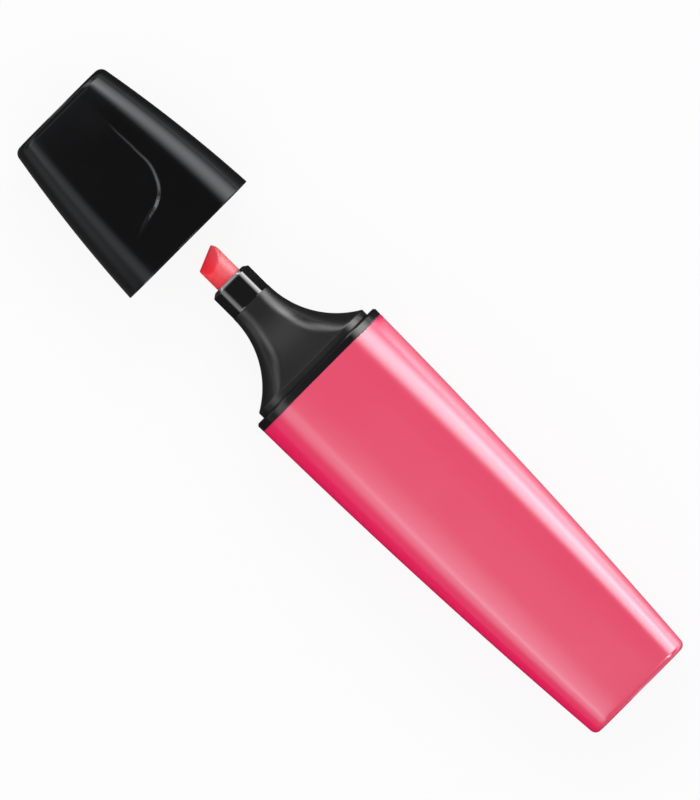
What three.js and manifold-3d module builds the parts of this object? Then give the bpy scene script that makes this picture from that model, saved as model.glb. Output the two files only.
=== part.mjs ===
// Flat chisel-tip highlighter with its cap pulled off, in millimetres.
//
// The pen lies on one of its two broad faces. Its axis runs along X and the nib points to +X, Y runs
// across the width and Z up through the thickness. Every piece is first made about the pen's axis, with
// x = 0 at the collar's front face, which is the shoulder that the cap's rim closes on. The last lines
// move the whole group so that its origin lies under the middle of the object, on the resting surface.

import * as THREE from 'three';
import { mergeVertices } from 'three/addons/utils/BufferGeometryUtils.js';
import Module from 'manifold-3d';

const wasm = await Module();
wasm.setup();

// ---------------------------------------------------------------- driving dimensions

// Body, shared by collar, barrel and cap
const BODY_THICKNESS = 17;
const BODY_WIDTH = 27.1; // at the collar, the widest place

// Barrel
const BARREL_LENGTH = 73.4;
const BARREL_WALL = 1.5;
const BARREL_MOUTH_RADIUS = 6.5; // section corner at the mouth
const BARREL_SIDE_CROWN = 0.63; // how far each side bows out from a straight taper
const BARREL_PLANE_LENGTH = 45; // stretch behind the mouth where the broad faces are plane
const TAIL_WIDTH = 20.7;
const TAIL_RADIUS = 2.8; // section corner at the tail
const TAIL_DROP = 1; // how far each broad face has come in at the tail
const TAIL_ROUND = 1.5; // rounding of the tail's edge
const TAIL_WALL = 2;
const RIB_WIDTH = 1.2; // ribs inside the barrel that centre the reservoir
const RIB_LEAST_HEIGHT = 0.4; // at the tail, where the cavity is smallest

// Collar
const COLLAR_LENGTH = 1.5;
const COLLAR_EDGE = 0.25; // bevel of the flange's front edge
const COLLAR_PLUG_LENGTH = 8;
const COLLAR_WALL = 1.2;
const BEAD_HEIGHT = 0.3; // snap bead on the plug and its groove in the barrel
const BEAD_LENGTH = 1.2;
const BEAD_SETBACK = 4; // from the barrel's mouth to the bead

// Grip section
const SKIRT_LENGTH = 1.14;
const CONE_LENGTH = 13.71;
const GRIP_WALL = 1.4;
const GRIP_PLUG_LENGTH = 6.5;
const GRIP_PLUG_WALL = 1.2;
const GRIP_NOSE_SOLID = 6.8; // solid stretch at the nose, which only the holder's tube passes

// Nib and its holder
const NIB_WIDTH = 4.9;
const NIB_THICKNESS = 4.4;
const NIB_RADIUS = 1.9;
const NIB_PROJECTION = 6.1; // from the nose to the long corner of the tip
const NIB_SLANT = 24; // degrees that the writing edge leans from square
const NIB_EDGE_THICKNESS = 1.7;
const NIB_FACET_LENGTH = 2.1;
const NIB_IN_RESERVOIR = 4; // how deep the back end sits in the fibre
const NOSE_LENGTH = 5.15;
const NOSE_WALL = 1.4;
const NOSE_STEP = 0.1; // how much the cone stands proud of the nose
const NOSE_EDGE = 0.5; // bevel round the nose's front
const NOSE_RADIUS = 3.4;
const HOLDER_TUBE_WALL = 0.5;
const HOLDER_TUBE_LENGTH = 21;

// Reservoir
const RESERVOIR_SETBACK = 1.2; // from the collar's plug to the fibre's front
const FILM_THICKNESS = 0.25;
const FILM_SETBACK = 0.8; // the film stops short of the fibre's ends

// Cap
const CAP_STEP = 0.09; // the cap's rim is this much slimmer than the collar, each side
const CAP_WALL = 1.35;
const CAP_END_WALL = 1.6;
const CAP_END_WIDTH = 19.8;
const CAP_SIDE_CROWN = 0.46;
const CAP_RIM_RADIUS = 6.3;
const CAP_END_RADIUS = 5.2;
const CAP_PLANE_LENGTH = 10; // stretch behind the rim where the broad faces are plane
const CAP_DROP = 1;
const CAP_END_ROUND = 0.9;
const CAP_PULL = 29.3; // how far the cap stands off the collar
const CAP_RIB_WIDTH = 1; // ribs inside the cap that hold the inner cap
const CAP_RIB_LENGTH = 6;
const INNER_CAP_WALL = 0.9;
const INNER_CAP_END_WALL = 1.15;
const INNER_CAP_OVERLAP = 4.4; // how far the inner cap reaches over the nose when closed
const NIB_TIP_GAP = 1.2; // from the nib's tip to the inner cap's end when closed

// Relief on the cap's front face: a low plateau whose edge runs along the axis and bends across
const RELIEF_HEIGHT = 0.4; // at the bend
const RELIEF_EDGE_Y = -4.3; // the edge's straight run
const RELIEF_START = 3.5; // from the closed end, where the edge fades in
const RELIEF_BEND = 22.6; // from the closed end to the far side of the bend
const RELIEF_BEND_RADIUS = 5;
const RELIEF_TAIL_Y = 5; // where the edge fades out past the bend
const RELIEF_TAIL_LEAN = 1.5; // how far that end leans towards the rim
const RELIEF_DEPTH = 3; // how deep the plateau's prism is rooted

// Clearances
const SEAT_GAP = 0.05; // between faces that rest on each other
const PRESS_FIT_GAP = 0.15; // between a plug and its socket
const NIB_FIT_GAP = 0.1;
const FILM_FIT_GAP = 0.1;
const CAP_FIT_GAP = 0.1; // cap over skirt
const INNER_CAP_FIT_GAP = 0.2; // inner cap over nose
const CUT_PAST = 1; // how far a cutting solid runs past the face that it opens

// Facets
const CORNER_STEPS = 7; // per section corner
const SIDE_STEPS = 10; // along a curved side
const EDGE_STEPS = 4; // round an edge

// ---------------------------------------------------------------- derived sizes

const HALF_THICKNESS = BODY_THICKNESS / 2;
const barrelMouthX = -COLLAR_LENGTH;
const tailX = barrelMouthX - BARREL_LENGTH;
const coneStartX = SKIRT_LENGTH;
const noseStartX = coneStartX + CONE_LENGTH;
const noseEndX = noseStartX + NOSE_LENGTH;
const nibTipX = noseEndX + NIB_PROJECTION;
const innerCapEndX = nibTipX + NIB_TIP_GAP + INNER_CAP_END_WALL;
const capCeilingX = innerCapEndX + SEAT_GAP;
const capEndX = capCeilingX + CAP_END_WALL;
const capLength = capEndX;

// ---------------------------------------------------------------- sections and lofts

// A section is a rounded rectangle across the axis: its place, its half sizes and its corner radius.
const section = (x, halfWidth, halfHeight, radius) => ({ x, halfWidth, halfHeight, radius });

// The same section grown by a margin, or shrunk by a negative one, with its corners kept concentric.
const grown = (s, margin) => section(s.x, s.halfWidth + margin, s.halfHeight + margin, s.radius + margin);

const moved = (s, x) => section(x, s.halfWidth, s.halfHeight, s.radius);

const lerp = THREE.MathUtils.lerp;

// Even places from one value to another, both ends included.
const spaced = (from, to, steps) => Array.from({ length: steps + 1 }, (_, i) => lerp(from, to, i / steps));

// Outline of a section as points round the axis, the same number for every section.
function outline(s) {
  const limit = 0.98 * Math.min(s.halfWidth, s.halfHeight);
  const radius = THREE.MathUtils.clamp(s.radius, 0.05, limit);
  const points = [];
  for (let corner = 0; corner < 4; corner += 1) {
    const start = (corner * Math.PI) / 2;
    const signY = corner === 0 || corner === 3 ? 1 : -1;
    const signZ = corner < 2 ? 1 : -1;
    for (const angle of spaced(start, start + Math.PI / 2, CORNER_STEPS)) {
      const y = signY * (s.halfWidth - radius) + radius * Math.cos(angle);
      const z = signZ * (s.halfHeight - radius) + radius * Math.sin(angle);
      points.push(new THREE.Vector3(s.x, y, z));
    }
  }
  return points;
}

// Closed skin through sections in order of rising x, with a flat fan over each end.
function loft(sections) {
  const rings = sections.map(outline);
  const count = rings[0].length;
  const points = rings.flat();
  const backCentre = points.length;
  const frontCentre = backCentre + 1;
  points.push(new THREE.Vector3(sections[0].x, 0, 0));
  points.push(new THREE.Vector3(sections[sections.length - 1].x, 0, 0));
  const faces = [];
  for (let i = 0; i < count; i += 1) {
    const next = (i + 1) % count;
    for (let ring = 0; ring < rings.length - 1; ring += 1) {
      const back = ring * count;
      const front = back + count;
      faces.push(back + i, back + next, front + next);
      faces.push(back + i, front + next, front + i);
    }
    const last = (rings.length - 1) * count;
    faces.push(backCentre, next, i);
    faces.push(frontCentre, last + i, last + next);
  }
  const geometry = new THREE.BufferGeometry().setFromPoints(points);
  geometry.setIndex(faces);
  return geometry;
}

// Solid for booleans from a closed three.js geometry.
function solid(geometry) {
  const bare = geometry.clone();
  bare.deleteAttribute('normal');
  bare.deleteAttribute('uv');
  const merged = mergeVertices(bare, 1e-5);
  const vertProperties = new Float32Array(merged.attributes.position.array);
  const triVerts = new Uint32Array(merged.index.array);
  return new wasm.Manifold(new wasm.Mesh({ numProp: 3, vertProperties, triVerts }));
}

const loftSolid = (sections) => solid(loft(sections));

// Straight bar with one section along its whole length.
const bar = (fromX, toX, s) => loftSolid([moved(s, fromX), moved(s, toX)]);

// Box given by its two corners.
function boxSolid(low, high) {
  const size = new THREE.Vector3().subVectors(high, low);
  const centre = new THREE.Vector3().addVectors(low, high).multiplyScalar(0.5);
  const geometry = new THREE.BoxGeometry(size.x, size.y, size.z);
  geometry.translate(centre.x, centre.y, centre.z);
  return solid(geometry);
}

// Cross of two boxes through the axis, one across the width and one across the thickness.
function crossRibs(fromX, toX, ribWidth) {
  const half = ribWidth / 2;
  const reachY = BODY_WIDTH / 2;
  const flat = boxSolid(new THREE.Vector3(fromX, -reachY, -half), new THREE.Vector3(toX, reachY, half));
  const upright = boxSolid(
    new THREE.Vector3(fromX, -half, -HALF_THICKNESS),
    new THREE.Vector3(toX, half, HALF_THICKNESS),
  );
  return flat.add(upright);
}

// ---------------------------------------------------------------- outlines of the body

// Both ends of the body taper alike: the width follows a straight taper with a crown, and the broad
// faces stay plane for a stretch and then come in on an arc. "along" is the distance from the joint.
function taperedSection(x, along, shape) {
  const share = along / shape.length;
  const straight = lerp(shape.jointWidth, shape.endWidth, share) / 2;
  const crown = 4 * shape.crown * share * (1 - share);
  const bend = Math.max(0, along - shape.planeLength) / (shape.length - shape.planeLength);
  const radius = lerp(shape.jointRadius, shape.endRadius, share);
  return section(x, straight + crown, HALF_THICKNESS - shape.drop * bend * bend, radius);
}

const barrelShape = {
  length: BARREL_LENGTH + COLLAR_LENGTH,
  jointWidth: BODY_WIDTH,
  endWidth: TAIL_WIDTH,
  crown: BARREL_SIDE_CROWN,
  planeLength: BARREL_PLANE_LENGTH,
  drop: TAIL_DROP,
  jointRadius: BARREL_MOUTH_RADIUS,
  endRadius: TAIL_RADIUS,
};

const capShape = {
  length: capLength,
  jointWidth: BODY_WIDTH - 2 * CAP_STEP,
  endWidth: CAP_END_WIDTH,
  crown: CAP_SIDE_CROWN,
  planeLength: CAP_PLANE_LENGTH,
  drop: CAP_DROP,
  jointRadius: CAP_RIM_RADIUS,
  endRadius: CAP_END_RADIUS,
};

const barrelSection = (x) => taperedSection(x, -x, barrelShape);
const capSection = (x) => taperedSection(x, x, capShape);

// Sections round an end's edge: the outline draws in on a quarter circle as it reaches the end face.
function roundedEnd(sectionAt, endX, towards, radius) {
  return spaced(0, Math.PI / 2, EDGE_STEPS).map((angle) => {
    const x = endX - towards * radius * (1 - Math.sin(angle));
    return grown(sectionAt(x), -radius * (1 - Math.cos(angle)));
  });
}

// ---------------------------------------------------------------- fits between pieces

const barrelCavity = (x) => grown(barrelSection(x), -BARREL_WALL);
const tailFloorX = tailX + TAIL_WALL;

// The collar's plug is straight. Its size suits the tapering barrel where its back end comes to lie,
// and its corners suit the mouth, where the cavity is roundest.
const collarPlugBackX = barrelMouthX - COLLAR_PLUG_LENGTH;
const collarPlugRadius = barrelCavity(barrelMouthX).radius - PRESS_FIT_GAP;
const collarPlug = { ...grown(barrelCavity(collarPlugBackX), -PRESS_FIT_GAP), radius: collarPlugRadius };
const collarOpening = grown(collarPlug, -COLLAR_WALL);
const gripPlug = grown(collarOpening, -PRESS_FIT_GAP);
const gripPlugCavity = grown(gripPlug, -GRIP_PLUG_WALL);

// The closed cap's rim tapers over the skirt, so the skirt's size suits the cap where the skirt ends,
// and its corners suit the rim.
const skirtInset = -CAP_WALL - CAP_FIT_GAP;
const skirt = { ...grown(capSection(SKIRT_LENGTH), skirtInset), radius: capSection(0).radius + skirtInset };

const nibSection = section(0, NIB_WIDTH / 2, NIB_THICKNESS / 2, NIB_RADIUS);
const nibBore = grown(nibSection, NIB_FIT_GAP);
const holderTube = grown(nibBore, HOLDER_TUBE_WALL);
const holderTubeSocket = grown(holderTube, NIB_FIT_GAP);
const nose = { ...grown(nibBore, NOSE_WALL), radius: NOSE_RADIUS };
const coneNose = grown(nose, NOSE_STEP);

const reservoirFrontX = collarPlugBackX - RESERVOIR_SETBACK;
const reservoirBackX = tailFloorX + SEAT_GAP;
const nibBackX = reservoirFrontX - NIB_IN_RESERVOIR;
const reservoirSpace = grown(barrelCavity(tailFloorX), -RIB_LEAST_HEIGHT);
const filmOuter = grown(reservoirSpace, -FILM_FIT_GAP);
const filmInner = grown(filmOuter, -FILM_THICKNESS);
const fibre = grown(filmInner, -FILM_FIT_GAP);

const innerCapMouthX = noseEndX - INNER_CAP_OVERLAP;
const innerCapSocket = grown(nose, INNER_CAP_FIT_GAP);
const innerCapOuter = grown(innerCapSocket, INNER_CAP_WALL);

// The cone's four sides are arcs that leave the nose along the axis and reach the skirt.
function coneSection(x) {
  const back = noseStartX - x;
  const arc = (noseHalf, skirtHalf) => {
    const rise = skirtHalf - noseHalf;
    const radius = (CONE_LENGTH ** 2 + rise ** 2) / (2 * rise);
    return noseHalf + radius - Math.sqrt(radius ** 2 - back ** 2);
  };
  const cornerRadius = lerp(coneNose.radius, skirt.radius, back / CONE_LENGTH);
  const halfWidth = arc(coneNose.halfWidth, skirt.halfWidth);
  return section(x, halfWidth, arc(coneNose.halfHeight, skirt.halfHeight), cornerRadius);
}

// ---------------------------------------------------------------- pieces

// Ring that stands proud of a plug, rising and falling over its length.
function snapBead(base, centreX, height) {
  return loftSolid([
    moved(base, centreX - BEAD_LENGTH / 2),
    moved(grown(base, height), centreX - BEAD_LENGTH / 6),
    moved(grown(base, height), centreX + BEAD_LENGTH / 6),
    moved(base, centreX + BEAD_LENGTH / 2),
  ]);
}

const beadX = barrelMouthX - BEAD_SETBACK;

function makeBarrel() {
  const sides = spaced(tailX + TAIL_ROUND, barrelMouthX, SIDE_STEPS).slice(1).map(barrelSection);
  const outer = loftSolid([...roundedEnd(barrelSection, tailX, -1, TAIL_ROUND).reverse(), ...sides]);
  const cavitySections = spaced(tailFloorX, barrelMouthX, SIDE_STEPS).map(barrelCavity);
  cavitySections.push(moved(barrelCavity(barrelMouthX), barrelMouthX + CUT_PAST));
  const ribs = crossRibs(tailX, reservoirFrontX, RIB_WIDTH);
  const ribsRoundReservoir = ribs.subtract(bar(tailX, barrelMouthX, reservoirSpace));
  const groove = snapBead(grown(barrelCavity(beadX), -PRESS_FIT_GAP), beadX, BEAD_HEIGHT + PRESS_FIT_GAP);
  return outer.subtract(loftSolid(cavitySections).subtract(ribsRoundReservoir)).subtract(groove);
}

function makeCollar() {
  const rim = barrelSection(0);
  const flange = loftSolid([
    moved(rim, barrelMouthX + SEAT_GAP),
    moved(rim, -COLLAR_EDGE),
    grown(rim, -COLLAR_EDGE),
  ]);
  const plug = bar(collarPlugBackX, -COLLAR_LENGTH / 2, collarPlug);
  const bead = snapBead(collarPlug, beadX, BEAD_HEIGHT);
  const opening = bar(collarPlugBackX - CUT_PAST, CUT_PAST, collarOpening);
  return flange.add(plug).add(bead).subtract(opening);
}

// Places along the cone from a given one to the nose, closer together where the arcs are steeper.
function conePlaces(endX) {
  const arcEnd = Math.PI / 3;
  const places = spaced(arcEnd, 0, SIDE_STEPS);
  return places.map((angle) => endX - ((endX - coneStartX) * Math.sin(angle)) / Math.sin(arcEnd));
}

function makeGripSection() {
  const cone = loftSolid([moved(skirt, SEAT_GAP), ...conePlaces(noseStartX).map(coneSection)]);
  const plug = bar(-GRIP_PLUG_LENGTH, SKIRT_LENGTH, gripPlug);
  const hollowEndX = noseStartX - GRIP_NOSE_SOLID;
  const hollowPlaces = [-GRIP_PLUG_LENGTH - CUT_PAST, ...conePlaces(hollowEndX)];
  const hollowSections = hollowPlaces.map((x) => {
    const inside = grown(coneSection(Math.max(x, coneStartX)), -GRIP_WALL);
    const halfWidth = Math.min(inside.halfWidth, gripPlugCavity.halfWidth);
    const halfHeight = Math.min(inside.halfHeight, gripPlugCavity.halfHeight);
    return section(x, halfWidth, halfHeight, Math.min(inside.radius, gripPlugCavity.radius));
  });
  const socket = bar(hollowEndX - CUT_PAST, noseStartX + CUT_PAST, holderTubeSocket);
  return cone.add(plug).subtract(loftSolid(hollowSections)).subtract(socket);
}

function makeNibHolder() {
  const nosePiece = loftSolid([
    moved(nose, noseStartX + SEAT_GAP),
    moved(nose, noseEndX - NOSE_EDGE),
    moved(grown(nose, -NOSE_EDGE / 2), noseEndX - NOSE_EDGE / 4),
    moved(grown(nose, -NOSE_EDGE), noseEndX),
  ]);
  const tubeBackX = noseStartX - HOLDER_TUBE_LENGTH;
  const tube = bar(tubeBackX, noseStartX + NOSE_LENGTH / 2, holderTube);
  return nosePiece.add(tube).subtract(bar(tubeBackX - CUT_PAST, noseEndX + CUT_PAST, nibBore));
}

// The bar is cut by one slanted plane at its tip, and by two facets that leave the writing edge.
function makeNib() {
  const reach = 2 * NIB_WIDTH;
  const slant = THREE.MathUtils.degToRad(NIB_SLANT);
  const facetDrop = (NIB_THICKNESS - NIB_EDGE_THICKNESS) / 2;
  const facetAngle = Math.atan2(facetDrop, NIB_FACET_LENGTH * Math.cos(slant));
  const cutter = (lean, lift) => {
    const geometry = new THREE.BoxGeometry(reach, 2 * reach, 2 * reach);
    geometry.translate(reach / 2, 0, 0);
    geometry.rotateY(lean);
    geometry.translate(0, 0, lift);
    geometry.rotateZ(slant);
    geometry.translate(nibTipX, -NIB_WIDTH / 2, 0);
    return solid(geometry);
  };
  const faceLean = Math.PI / 2 - facetAngle;
  const tipCut = cutter(0, 0);
  const topCut = cutter(-faceLean, NIB_EDGE_THICKNESS / 2);
  const bottomCut = cutter(faceLean, -NIB_EDGE_THICKNESS / 2);
  return bar(nibBackX, nibTipX, nibSection).subtract(tipCut).subtract(topCut).subtract(bottomCut);
}

function makeReservoir() {
  const nibPocket = bar(nibBackX - SEAT_GAP, reservoirFrontX + CUT_PAST, nibBore);
  return bar(reservoirBackX, reservoirFrontX, fibre).subtract(nibPocket);
}

function makeFilm() {
  const backX = reservoirBackX + FILM_SETBACK;
  const frontX = reservoirFrontX - FILM_SETBACK;
  return bar(backX, frontX, filmOuter).subtract(bar(backX - CUT_PAST, frontX + CUT_PAST, filmInner));
}

// Plateau on the cap's front face. Its top is one plane that is flush with the face where the edge
// fades in and where it fades out, and stands proud at the bend, so it sinks below the face elsewhere.
function makeRelief() {
  const startX = capEndX - RELIEF_START;
  const bendX = capEndX - RELIEF_BEND;
  const tailEndX = bendX - RELIEF_TAIL_LEAN;
  const shape = new THREE.Shape();
  shape.moveTo(startX, RELIEF_TAIL_Y);
  shape.lineTo(startX, RELIEF_EDGE_Y);
  shape.lineTo(bendX + RELIEF_BEND_RADIUS, RELIEF_EDGE_Y);
  shape.quadraticCurveTo(bendX, RELIEF_EDGE_Y, bendX, RELIEF_EDGE_Y + RELIEF_BEND_RADIUS);
  shape.lineTo(tailEndX, RELIEF_TAIL_Y);
  const geometry = new THREE.ExtrudeGeometry(shape, {
    depth: RELIEF_DEPTH,
    bevelEnabled: false,
    curveSegments: 2 * CORNER_STEPS,
  });
  geometry.translate(0, 0, -RELIEF_DEPTH);
  const faceZ = (x) => capSection(x).halfHeight;
  const fadeIn = new THREE.Vector3(startX, RELIEF_EDGE_Y, faceZ(startX));
  const fadeOut = new THREE.Vector3(tailEndX, RELIEF_TAIL_Y, faceZ(tailEndX));
  const bendShare = RELIEF_BEND_RADIUS / 4;
  const peakX = bendX + bendShare;
  const peak = new THREE.Vector3(peakX, RELIEF_EDGE_Y + bendShare, faceZ(peakX) + RELIEF_HEIGHT);
  const top = new THREE.Plane().setFromCoplanarPoints(fadeIn, fadeOut, peak);
  const lift = (x, y) => -(top.constant + top.normal.x * x + top.normal.y * y) / top.normal.z;
  const position = geometry.attributes.position;
  for (let i = 0; i < position.count; i += 1) {
    position.setZ(i, position.getZ(i) + lift(position.getX(i), position.getY(i)));
  }
  return solid(geometry);
}

function makeCapShell() {
  const sides = spaced(0, capEndX - CAP_END_ROUND, SIDE_STEPS).slice(0, -1).map(capSection);
  const outer = loftSolid([...sides, ...roundedEnd(capSection, capEndX, 1, CAP_END_ROUND)]);
  const cavityAt = (x) => grown(capSection(x), -CAP_WALL);
  const cavitySections = spaced(0, capCeilingX, SIDE_STEPS).map(cavityAt);
  cavitySections.unshift(moved(cavityAt(0), -CUT_PAST));
  const ribs = crossRibs(capCeilingX - CAP_RIB_LENGTH, capEndX - CAP_END_ROUND, CAP_RIB_WIDTH);
  const innerCapSpace = bar(innerCapMouthX, capEndX, grown(innerCapOuter, PRESS_FIT_GAP));
  const cavity = loftSolid(cavitySections).subtract(ribs.subtract(innerCapSpace));
  return outer.add(makeRelief()).subtract(cavity);
}

function makeInnerCap() {
  const socketEndX = innerCapEndX - INNER_CAP_END_WALL;
  const socket = bar(innerCapMouthX - CUT_PAST, socketEndX, innerCapSocket);
  return bar(innerCapMouthX, innerCapEndX, innerCapOuter).subtract(socket);
}

// ---------------------------------------------------------------- materials

const finish = (color, roughness) => new THREE.MeshStandardMaterial({ color, roughness, metalness: 0 });

const glossBlack = () => finish(0x141416, 0.18);
const satinBlack = () => finish(0x232325, 0.5);

// ---------------------------------------------------------------- assembly

function piece(name, body, material) {
  const { numProp, vertProperties, triVerts } = body.getMesh();
  const geometry = new THREE.BufferGeometry();
  geometry.setAttribute('position', new THREE.BufferAttribute(new Float32Array(vertProperties), numProp));
  geometry.setIndex(new THREE.BufferAttribute(new Uint32Array(triVerts), 1));
  geometry.computeVertexNormals();
  const mesh = new THREE.Mesh(geometry, material);
  mesh.name = name;
  return mesh;
}

const pen = new THREE.Group();
pen.add(piece('barrel', makeBarrel(), finish(0xe8406e, 0.3)));
pen.add(piece('collar', makeCollar(), glossBlack()));
pen.add(piece('grip_section', makeGripSection(), satinBlack()));
pen.add(piece('nib_holder', makeNibHolder(), glossBlack()));
pen.add(piece('nib', makeNib(), finish(0xe8304e, 0.8)));
pen.add(piece('ink_reservoir', makeReservoir(), finish(0xf05a86, 0.9)));
pen.add(piece('reservoir_film', makeFilm(), finish(0xf2f2f0, 0.3)));

const cap = new THREE.Group();
cap.add(piece('cap_shell', makeCapShell(), glossBlack()));
cap.add(piece('inner_cap', makeInnerCap(), satinBlack()));
cap.position.x = CAP_PULL;

const highlighter = new THREE.Group();
highlighter.add(pen);
highlighter.add(cap);
highlighter.position.set(-(tailX + capEndX + CAP_PULL) / 2, 0, HALF_THICKNESS);

export default highlighter;
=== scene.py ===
"""Flat chisel-tip highlighter with its cap pulled off, seen from straight above.

The pen lies on one broad face. Its axis runs along X with the nib towards +X, Y runs across the
width and Z up through the thickness. Pieces are worked out in millimetres about the axis, measured
from the shoulder that the cap's rim closes on, or from that rim for the cap, and are put into the
frame in metres.
"""

from __future__ import annotations

import logging
import math
from collections.abc import Callable
from dataclasses import dataclass, field
from enum import Enum

import bpy
import numpy as np
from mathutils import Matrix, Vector
from numpy.typing import NDArray


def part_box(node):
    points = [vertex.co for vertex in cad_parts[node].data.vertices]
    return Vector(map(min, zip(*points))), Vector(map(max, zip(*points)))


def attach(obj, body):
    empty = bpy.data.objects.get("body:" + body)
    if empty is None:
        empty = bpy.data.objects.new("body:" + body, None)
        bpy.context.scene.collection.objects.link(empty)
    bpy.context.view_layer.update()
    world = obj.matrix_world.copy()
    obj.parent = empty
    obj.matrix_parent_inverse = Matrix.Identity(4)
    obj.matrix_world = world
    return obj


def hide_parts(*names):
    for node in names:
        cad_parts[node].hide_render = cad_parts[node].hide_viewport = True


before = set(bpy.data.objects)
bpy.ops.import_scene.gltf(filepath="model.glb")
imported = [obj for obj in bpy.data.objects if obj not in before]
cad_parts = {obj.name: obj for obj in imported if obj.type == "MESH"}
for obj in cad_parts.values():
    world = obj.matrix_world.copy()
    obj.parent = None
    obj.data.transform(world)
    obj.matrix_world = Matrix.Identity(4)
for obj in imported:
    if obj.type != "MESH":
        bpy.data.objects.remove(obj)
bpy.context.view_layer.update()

Array = NDArray[np.float64]
SectionAt = Callable[[Array], Array]
Pair = tuple[float, float]
Colour = tuple[float, float, float, float]
Socket = bpy.types.NodeSocket
Node = bpy.types.Node
Mesh = bpy.types.Mesh
Material = bpy.types.Material
Object = bpy.types.Object

MM = 0.001
TINY = 1e-9
NOISE_SPAN = (0.3, 0.7)
POWER_PER_RADIANCE = 4.0
QUARTER = math.pi / 2
WHITE = (1.0, 1.0, 1.0, 1.0)
LEAN = "lean"
LOG = logging.getLogger("highlighter")


# ---------------------------------------------------------------- names


class Body(Enum):
    """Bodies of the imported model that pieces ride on."""

    PEN = "pen"
    CAP = "cap"


class Slot(Enum):
    """Material slots of the record."""

    FLUORESCENT = "fluorescent_plastic"
    GLOSS_BLACK = "gloss_black_plastic"
    SATIN_BLACK = "satin_black_plastic"
    NIB_FIBRE = "nib_fibre"


class Heading(Enum):
    """Direction in which a rounded turn of a profile sets off."""

    ALONG = "along the axis"
    ACROSS = "towards or away from the axis"


# ---------------------------------------------------------------- places


@dataclass(frozen=True)
class Places:
    """Stations along the axis in millimetres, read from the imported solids.

    Pen stations count from the collar's front face, cap stations from the cap's rim. Where those
    two lie, and the axis's height, are in metres.
    """

    shoulder: float
    rim: float
    axis_height: float
    tail: float
    mouth: float
    collar_back: float
    grip_back: float
    grip_front: float
    holder_back: float
    nose_end: float
    nib_back: float
    nib_tip: float
    cap_end: float
    inner_mouth: float
    inner_end: float

    @classmethod
    def from_frame(cls) -> Places:
        """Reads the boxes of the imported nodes.

        Returns:
            The stations.
        """
        shoulder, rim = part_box("collar")[1].x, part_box("cap_shell")[0].x
        low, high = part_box("barrel")

        def ends(node: str, start: float = shoulder) -> Pair:
            """Both ends of a node's box along the axis."""
            return tuple((corner.x - start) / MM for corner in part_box(node))

        stations = [*ends("barrel"), ends("collar")[0]]
        for node in ("grip_section", "nib_holder", "nib"):
            stations += ends(node)
        stations += [ends("cap_shell", rim)[1], *ends("inner_cap", rim)]
        return cls(shoulder, rim, (low.z + high.z) / 2, *stations)


# ---------------------------------------------------------------- sections across the axis


@dataclass(frozen=True)
class Section:
    """Rounded rectangle across the axis, the same all along it, in millimetres."""

    half_width: float
    half_height: float
    radius: float

    def grown(self, margin: float) -> Section:
        """The section with its sides moved out by a margin and its corners concentric."""
        return Section(self.half_width + margin, self.half_height + margin, self.radius + margin)

    def __call__(self, x: Array) -> Array:
        """One row of half width, half height, corner radius and crown for each place."""
        return np.tile([self.half_width, self.half_height, self.radius, 0.0], (len(x), 1))


@dataclass(frozen=True)
class Taper:
    """One half of the body's outline, from the shoulder to its far end, in millimetres."""

    length: float
    joint_width: float
    end_width: float
    crown: float
    plane_length: float
    drop: float
    joint_radius: float
    end_radius: float
    crowning: float
    half_thickness: float = 8.5

    def __call__(self, x: Array) -> Array:
        """Sections at places along the axis, on either side of the shoulder.

        With s the share of the length, the half width is a straight taper plus the crown times
        4 s (1 - s). The half height is constant over the plane stretch and then falls by the drop
        times the square of the share of the stretch past it. The corner radius changes evenly.

        Args:
            x: Places along the axis.

        Returns:
            One row of half width, half height, corner radius and crown for each place.
        """
        along = np.abs(x)
        share = along / self.length
        straight = (self.joint_width + (self.end_width - self.joint_width) * share) / 2
        width = straight + 4 * self.crown * share * (1 - share)
        past = np.clip((along - self.plane_length) / (self.length - self.plane_length), 0, None)
        height = self.half_thickness - self.drop * past**2
        radius = self.joint_radius + (self.end_radius - self.joint_radius) * share
        return np.column_stack([width, height, radius, np.full(len(x), self.crowning)])

    def at(self, x: float) -> Section:
        """The section at one place, without its crown."""
        return Section(*self(np.array([x]))[0, :3])


@dataclass(frozen=True)
class Cone:
    """Flared front of the grip, whose four sides are arcs that leave the nose along the axis."""

    nose: Section
    skirt: Section
    start: float
    end: float

    def __call__(self, x: Array) -> Array:
        """Sections at places along the cone.

        Each side is part of a circle tangent to the axis at the nose. For a rise h over the length
        l the circle's radius is (l^2 + h^2) / 2h, and at a distance b behind the nose the side
        stands r - sqrt(r^2 - b^2) out from its place at the nose.

        Args:
            x: Places along the axis.

        Returns:
            One row of half width, half height, corner radius and crown for each place.
        """
        nose, skirt, length = self.nose, self.skirt, self.end - self.start
        back = np.clip(self.end - x, 0, length)

        def side(at_nose: float, at_skirt: float) -> Array:
            """Distance of one side from the axis."""
            rise = at_skirt - at_nose
            bend = (length**2 + rise**2) / (2 * rise)
            return at_nose + bend - np.sqrt(bend**2 - back**2)

        width = side(nose.half_width, skirt.half_width)
        height = side(nose.half_height, skirt.half_height)
        radius = nose.radius + (skirt.radius - nose.radius) * back / length
        return np.column_stack([width, height, radius, np.zeros(len(x))])


# ---------------------------------------------------------------- skins


def spaced(steps: int) -> Array:
    """Shares of the way after each of a number of steps, which are closer at both ends."""
    return (1 - np.cos(np.linspace(0, math.pi, steps + 1)[1:])) / 2


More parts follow.
